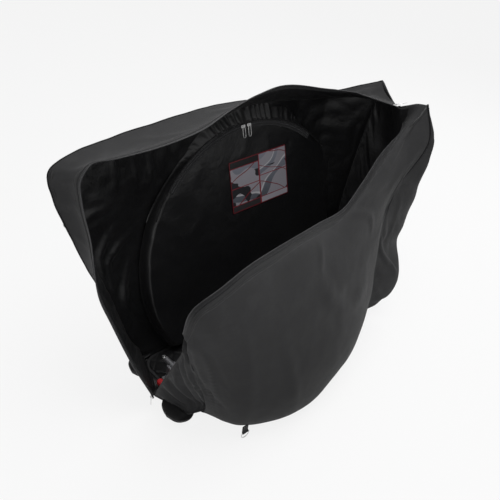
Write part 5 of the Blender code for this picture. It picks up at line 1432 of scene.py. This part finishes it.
class BAG_OT_near_pocket(bpy.types.Operator):
    """Build the low wheel pocket inside the near half"""
    bl_idname = "bag.near_pocket"
    bl_label = "Near wheel pocket"

    def execute(self, context):
        bag = sizes()
        lean = math.radians(NEAR_POCKET_LEAN_DEG)
        up = Vector((0, -math.sin(lean), math.cos(lean)))
        out = Vector((0, -math.cos(lean), -math.sin(lean)))
        scale, height = NEAR_POCKET_WAVE

        def front_of(share, depth, place):
            dome = POCKET_LEAST + bag.near_pocket_rise * (1 - share ** 2)
            wave = noise.noise(place / scale) * height * (1 - share)
            return NEAR_POCKET_SEAT + (dome + wave) * rounded_rim(share, NEAR_RIM_SHARE)

        fronts, backs = pocket_rings(wall_behind("near_shell"), Vector(places([NEAR_POCKET_SHARES])[0]),
                                     Vector((1, 0, 0)), up, out, bag.near_pocket_radius,
                                     (-bag.length, bag.length, 0.0), NEAR_POCKET_RINGS,
                                     NEAR_POCKET_SIDES, front_of)
        pocket = ringed_mesh("near_pocket_panel", fronts, backs)
        dressed(pocket, near_blend, "lining", "near_pocket", fill=0.4)
        trim("near_pocket_piping", fronts[-4], -np.array(out), SEAM_RADIUS, 8, near_blend, closed=True)
        return {"FINISHED"}


class BAG_OT_card(bpy.types.Operator):
    """Build the plain packing card on the pocket's face"""
    bl_idname = "bag.card"
    bl_label = "Packing card"

    def execute(self, context):
        face = PocketFace()
        low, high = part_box("packing_card")
        width, height = high.x - low.x, (high.z - low.z) / face.up.z
        right, top = width - CARD_CORNER, height - CARD_CORNER
        outline = []
        for x, y, start in ((right, top, 0), (CARD_CORNER, top, 90), (CARD_CORNER, CARD_CORNER, 180),
                            (right, CARD_CORNER, 270)):
            turns = [math.radians(start + turn) for turn in range(0, 91, 15)]
            outline += [(x + CARD_CORNER * math.cos(a), y + CARD_CORNER * math.sin(a)) for a in turns]
        count = len(outline)
        points = [tuple(face.card + face.right * x + face.up * y - face.out * (SEAT_GAP + depth))
                  for depth in (0.0, CARD_THICKNESS) for x, y in outline]
        faces = [tuple(range(count)), tuple(range(2 * count - 1, count - 1, -1))]
        faces += [(k, k + count, (k + 1) % count + count, (k + 1) % count) for k in range(count)]
        spread = [(x / width, y / height) for x, y in outline] * 2
        card = add_mesh("generic_card", points, faces, [finish("card")], coordinates=spread, smooth=False)
        dressed(card, "root", "card", "packing_card")
        return {"FINISHED"}


# Zips

def zip_line(grid, first_row, wall_side, straight):
    """Where a zip's tape starts on a wall's edge, the way it stands out and its upper side."""
    edge = grid[0]
    across = unit(edge - grid[first_row])
    if straight:
        steps = (straight - 1) * FINE
        share = even(FINE)[:, None]
        for ends, blend_to in ((slice(0, steps + 1), slice(steps, steps + FINE + 1)),
                               (slice(len(edge) - steps - 1, None), slice(-steps - FINE - 1, -steps))):
            across[ends] = unit(across[ends][::FINE].mean(axis=0))
            first, last = across[blend_to][0].copy(), across[blend_to][-1].copy()
            across[blend_to] = unit(first * (1 - share) + last * share)
    inward = unit(np.cross(np.gradient(edge, axis=0), across)) * wall_side
    return edge + across * TAPE_SEAT + inward * sizes().wall / 2, across, -inward


class BAG_OT_main_zips(bpy.types.Operator):
    """Build both open chains of the main zip: woven tape and coil teeth"""
    bl_idname = "bag.main_zips"
    bl_label = "Main zips"

    def execute(self, context):
        path, across, up = zip_line(far_grid(15, 3), 5, 1, STRAIGHT_COLUMNS)
        self.chain("far", path, across, up, TOOTH_LEAN, "root", "main_zip_far")
        path, across, up = zip_line(near_grid(NEAR_COLUMNS * FINE, NEAR_ROWS * 3, 0.0), 3, -1, 0)
        across = unit(ease(across, 6))
        self.chain("near", path, across, up, -TOOTH_LEAN, near_blend, "main_zip_near", "main_zip_near_rear")
        return {"FINISHED"}

    def chain(self, side, path, across, up, lean, carrier, *nodes):
        """One half of the zip: its tape, its teeth and the stitching that holds it."""
        bag = sizes()
        flat = tape(f"{side}_zip_tape", path, across, up, TAPE_BACK, bag.tape + TAPE_OVER)
        dressed(flat, carrier, "webbing", *nodes)
        middle = path + across * (bag.tape + bag.teeth / 2)
        dressed(teeth(f"{side}_zip_teeth", middle, across, bag.teeth, lean), carrier, "webbing")
        sewing = path + across * ZIP_SEWING + up * SEWING_LIFT
        dressed(stitches(f"{side}_zip_stitching", sewing, up, ZIP_STITCH_WIDTH), carrier, "webbing")


class BAG_OT_arch_zip(bpy.types.Operator):
    """Build the pocket's closed, arched zip: two tapes and two rows of teeth"""
    bl_idname = "bag.arch_zip"
    bl_label = "Arched zip"

    def execute(self, context):
        bag, face = sizes(), PocketFace()
        start, end = (math.radians(a) for a in ARCH_ENDS_DEG)
        angles = start + (end - start) * even(150)
        lift = BEAD_THICKNESS / 2 + SEAT_GAP
        path = np.array([tuple(face.at(a, bag.arch_radius) - face.out * lift) for a in angles])
        radial = np.array([tuple(face.right * math.sin(a) + face.up * math.cos(a)) for a in angles])
        up = np.broadcast_to(-np.array(face.out), path.shape)
        half = bag.tape + bag.teeth / 2
        dressed(tape("arch_zip_tape", path, radial, up, -half, half), "root", "webbing", "arch_zip")
        for name, side in (("outer", 1), ("inner", -1)):
            row = teeth(f"arch_zip_teeth_{name}", path + radial * side * bag.teeth / 4, radial,
                        bag.teeth / 2 + TOOTH_OVERLAP, side * ARCH_TOOTH_LEAN)
            dressed(row, "root", "webbing")
            for inset in ARCH_SEWING:
                sewing = path + radial * side * (half - inset) + up * SEWING_LIFT
                sewn = stitches(f"arch_stitching_{name}_{round(inset * 10000)}", sewing, up, ZIP_STITCH_WIDTH)
                dressed(sewn, "root", "webbing")
        return {"FINISHED"}


# Base, boots, webbing and hardware

class BAG_OT_base(bpy.types.Operator):
    """Build the quilted mat on the board and the bound welt along its near edge"""
    bl_idname = "bag.base"
    bl_label = "Base mat and welt"

    def execute(self, context):
        low, high = own_box("base_mat")
        columns, rows = MAT_GRID
        top = np.empty((rows + 1, columns + 1, 3))
        for r in range(rows + 1):
            y = low.y + (high.y - low.y) * r / rows
            away = max(MAT_CORNER - min(y - low.y, high.y - y), 0.0)
            inset = MAT_CORNER - math.sqrt(max(MAT_CORNER ** 2 - away ** 2, 0.0))
            x = np.linspace(low.x + inset, high.x - inset, columns + 1)
            top[r] = np.stack([x, np.full(columns + 1, y), np.full(columns + 1, high.z)], axis=1)
        under = top.copy()
        under[..., 2] = low.z
        u, v = (top[..., 0] + top[..., 1]) / QUILT_PITCH, (top[..., 0] - top[..., 1]) / QUILT_PITCH
        groove = np.minimum(abs(u % 1 - 0.5), abs(v % 1 - 0.5))
        top[..., 2] -= QUILT_DEPTH * np.exp(-(groove / QUILT_SOFTNESS) ** 2)
        dressed(padded_wall("base_pad", top, under, "lining"), "root", "lining", "base_mat", fill=0.5)
        low, high = own_box("near_hem")
        middle = (low + high) / 2
        line = [(x, middle.y, middle.z) for x in np.linspace(low.x, high.x, 200)]
        trim("bound_hem", line, (0, 0, 1), WELT_RADIUS, 16, face="webbing", nodes=["near_hem"])
        return {"FINISHED"}


class BAG_OT_corner_boots(bpy.types.Operator):
    """Build the rounded pads under the front corners, each with a seam down its front"""
    bl_idname = "bag.corner_boots"
    bl_label = "Corner boots"

    def execute(self, context):
        for node, place in BOOTS.items():
            self.boot(node, *place)
        return {"FINISHED"}

    def boot(self, node, x, y, deep, broad):
        """One pad: a rounded form, flattened where it meets the board and cut off behind."""
        seat = BOARD_LOW.z - SEAT_GAP
        shape = bmesh.new()
        bmesh.ops.create_uvsphere(shape, u_segments=64, v_segments=48, radius=1.0)
        bmesh.ops.scale(shape, vec=[r * f for r, f in zip(BOOT_RADII, (deep, broad, 1.0))], verts=shape.verts)
        for vert in shape.verts:
            vert.co *= 1 + BOOT_UNEVEN * noise.noise(vert.co / BOOT_WAVE + Vector((x, y, 3)))
        bmesh.ops.translate(shape, vec=(x, y, BOOT_CENTRE_Z), verts=shape.verts)
        for vert in shape.verts:
            above = vert.co.z - seat
            if above > 0:
                clear = max(BOARD_FRONT - BOOT_FRONT_CLEAR - vert.co.x, 0.0) * BOOT_SLOPE
                inside = max(vert.co.y + BOARD_NEAR + BOOT_SIDE_CLEAR, 0.0) if y < 0 else 1.0
                vert.co.z = seat + min(above * BOOT_CROWN_SHARE, clear, inside)
        cut = bmesh.ops.bisect_plane(shape, geom=shape.verts[:] + shape.edges[:] + shape.faces[:],
                                     plane_co=(BOARD_FRONT + BOOT_OVERLAP, 0, 0), plane_no=(1, 0, 0),
                                     clear_outer=True)
        rim = [e for e in cut["geom_cut"] if isinstance(e, bmesh.types.BMEdge)]
        bmesh.ops.edgeloop_fill(shape, edges=rim)
        points, faces = loose_parts(shape)
        metres = np.stack([points[:, 0] + points[:, 1], points[:, 2]], axis=1)
        boot = add_mesh(node + "_pad", points, faces, [finish("boot_fabric")], coordinates=metres)
        boot.data.set_sharp_from_angle(angle=math.radians(SHARP_DEG))
        bevelled(boot, BOOT_ROUNDING, 3, SHARP_DEG)
        dressed(boot, "root", "outer_fabric", node, fill=0.8)
        turns = [math.radians(t) for t in range(-86, 8, 3)]
        line = [(x - BOOT_RADII[0] * deep * math.cos(t), y, BOOT_CENTRE_Z + BOOT_RADII[2] * math.sin(t))
                for t in turns]
        trim(node + "_seam", line, (0, 1, 0), BOOT_SEAM_RADIUS, 8)


class BAG_OT_webbing(bpy.types.Operator):
    """Build the folded webbing tabs and the rear grab handle"""
    bl_idname = "bag.webbing"
    bl_label = "Webbing"

    def execute(self, context):
        for node, body in STRAPS.items():
            shape = bmesh.new()
            shape.from_mesh(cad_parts[node].data)
            bmesh.ops.remove_doubles(shape, verts=shape.verts, dist=WELD)
            bmesh.ops.dissolve_limit(shape, angle_limit=math.radians(2), verts=shape.verts, edges=shape.edges)
            points, faces = loose_parts(shape)
            points -= SHIFT
            middle = points - points.mean(axis=0)
            flat = middle @ np.linalg.svd(middle, full_matrices=False)[2][:2].T
            strap = add_mesh(node + "_webbing", points, faces, [finish("webbing")], coordinates=flat)
            strap.data.set_sharp_from_angle(angle=math.radians(SHARP_DEG))
            bevelled(strap, STRAP_ROUNDING, 2, EDGE_DEG)
            dressed(strap, body, "webbing", node)
        return {"FINISHED"}


class BAG_OT_hardware(bpy.types.Operator):
    """Give the board, keel, mounts, casters, sliders, pulls and rings their materials and rounded edges"""
    bl_idname = "bag.hardware"
    bl_label = "Hardware"

    def execute(self, context):
        finishes = {node: name for name, nodes in HARDWARE.items() for node in nodes}
        for node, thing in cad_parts.items():
            if thing.hide_render:
                continue
            chosen = finish(finishes.get(node, "steel"))
            for held in thing.material_slots:
                held.material = chosen
            if not thing.material_slots:
                thing.data.materials.append(chosen)
            thing.modifiers.new("weld", "WELD").merge_threshold = WELD
            if node in WIRES:
                finer(thing, 2)
            else:
                bevelled(thing, BOARD_ROUNDING if node == "base_board" else HARD_ROUNDING, 2, EDGE_DEG)
        return {"FINISHED"}


class BAG_OT_stage(bpy.types.Operator):
    """Set the pale floor, the soft light and the camera"""
    bl_idname = "bag.stage"
    bl_label = "Stage"

    def execute(self, context):
        view = context.scene.bag_view
        self.floor(view)
        self.lights(context.scene, view)
        self.camera(context.scene, view)
        context.scene.view_settings.view_transform = "Standard"
        return {"FINISHED"}

    def floor(self, view):
        turns = [math.radians(a) for a in range(0, 360, 6)]
        points = [(FLOOR_RADIUS * math.cos(a), FLOOR_RADIUS * math.sin(a), 0) for a in turns]
        made = Finish("studio_floor", roughness=0.9, specular_ior_level=0.2)
        made.set(base_color=made.blend(made.noise(40.0, 3.0), scaled(view.floor, 0.99), view.floor))
        glow = made.node("ShaderNodeEmission", None, {"Color": (1, 1, 1), "Strength": 1.0})
        surface = Value(made, made.shader.outputs[0])
        share = made.seen_directly() * FLOOR_GLOW
        made.feed(made.tree.nodes["Material Output"].inputs[0],
                  made.node("ShaderNodeMixShader", None, {0: share, 1: surface, 2: glow}))
        add_mesh("studio_floor", points, [tuple(range(len(points)))], [made.material])

    def lights(self, scene, view):
        for name, (place, size, share) in LAMPS.items():
            lamp = bpy.data.lights.new(name, "AREA")
            lamp.shape, lamp.size, lamp.energy = "DISK", size, view.key * share
            thing = bpy.data.objects.new(name, lamp)
            thing.location = place
            thing.rotation_euler = (Vector(LAMPS_AIM) - Vector(place)).to_track_quat("-Z", "Y").to_euler()
            scene.collection.objects.link(thing)
        world = bpy.data.worlds.new("studio")
        world.use_nodes = True
        sky = Nodes(world.node_tree)
        soft = sky.node("ShaderNodeBackground", None, {"Color": (0.93, 0.93, 0.94), "Strength": view.fill})
        white = sky.node("ShaderNodeBackground", None, {"Color": (0.93, 0.93, 0.93), "Strength": 1.0})
        both = sky.node("ShaderNodeMixShader", None, {0: sky.seen_directly(), 1: soft, 2: white})
        sky.feed(sky.tree.nodes["World Output"].inputs[0], both)
        scene.world = world

    def camera(self, scene, view):
        a, e, r = view.azimuth, view.elevation, view.roll
        back = Vector((math.sin(a) * math.cos(e), -math.cos(a) * math.cos(e), math.sin(e)))
        right = Vector((math.cos(a), math.sin(a), 0))
        up = back.cross(right)
        turned = Matrix((right * math.cos(r) + up * math.sin(r),
                         up * math.cos(r) - right * math.sin(r), back))
        lens = bpy.data.cameras.new("camera")
        lens.lens, lens.sensor_fit = view.lens, "HORIZONTAL"
        camera = bpy.data.objects.new("camera", lens)
        scene.collection.objects.link(camera)
        matrix = turned.transposed().to_4x4()
        matrix.translation = Vector(view.target) + back * view.distance + Vector(SHIFT)
        camera.matrix_world = matrix
        scene.camera = camera


class BAG_PT_panel(bpy.types.Panel):
    """The bag's pieces, sizes and colours in the 3D view's sidebar"""
    bl_idname = "BAG_PT_panel"
    bl_label = "Soft bike travel bag"
    bl_space_type = "VIEW_3D"
    bl_region_type = "UI"
    bl_category = "Bag"

    def draw(self, context):
        for piece in PIECES:
            self.layout.operator(piece.bl_idname)
        for group in (context.scene.bag_sizes, context.scene.bag_colours, context.scene.bag_view):
            box = self.layout.box()
            for name in group.__annotations__:
                box.prop(group, name)


PIECES = [BAG_OT_far_wall, BAG_OT_near_wall, BAG_OT_front_gusset, BAG_OT_skirts, BAG_OT_rear_end,
          BAG_OT_far_pocket, BAG_OT_near_pocket, BAG_OT_card, BAG_OT_main_zips, BAG_OT_arch_zip, BAG_OT_base,
          BAG_OT_corner_boots, BAG_OT_webbing, BAG_OT_hardware, BAG_OT_stage]
GROUPS = [BagSizes, BagColours, BagView]
CLASSES = GROUPS + PIECES + [BAG_PT_panel]


def register():
    for kind in CLASSES:
        bpy.utils.register_class(kind)
    bpy.types.Scene.bag_sizes = PointerProperty(type=BagSizes)
    bpy.types.Scene.bag_colours = PointerProperty(type=BagColours)
    bpy.types.Scene.bag_view = PointerProperty(type=BagView)


def unregister():
    for name in ("bag_sizes", "bag_colours", "bag_view"):
        delattr(bpy.types.Scene, name)
    for kind in reversed(CLASSES):
        bpy.utils.unregister_class(kind)


def main():
    register()
    for piece in PIECES:
        family, name = piece.bl_idname.split(".")
        getattr(getattr(bpy.ops, family), name)()


if __name__ == "__main__":
    main()
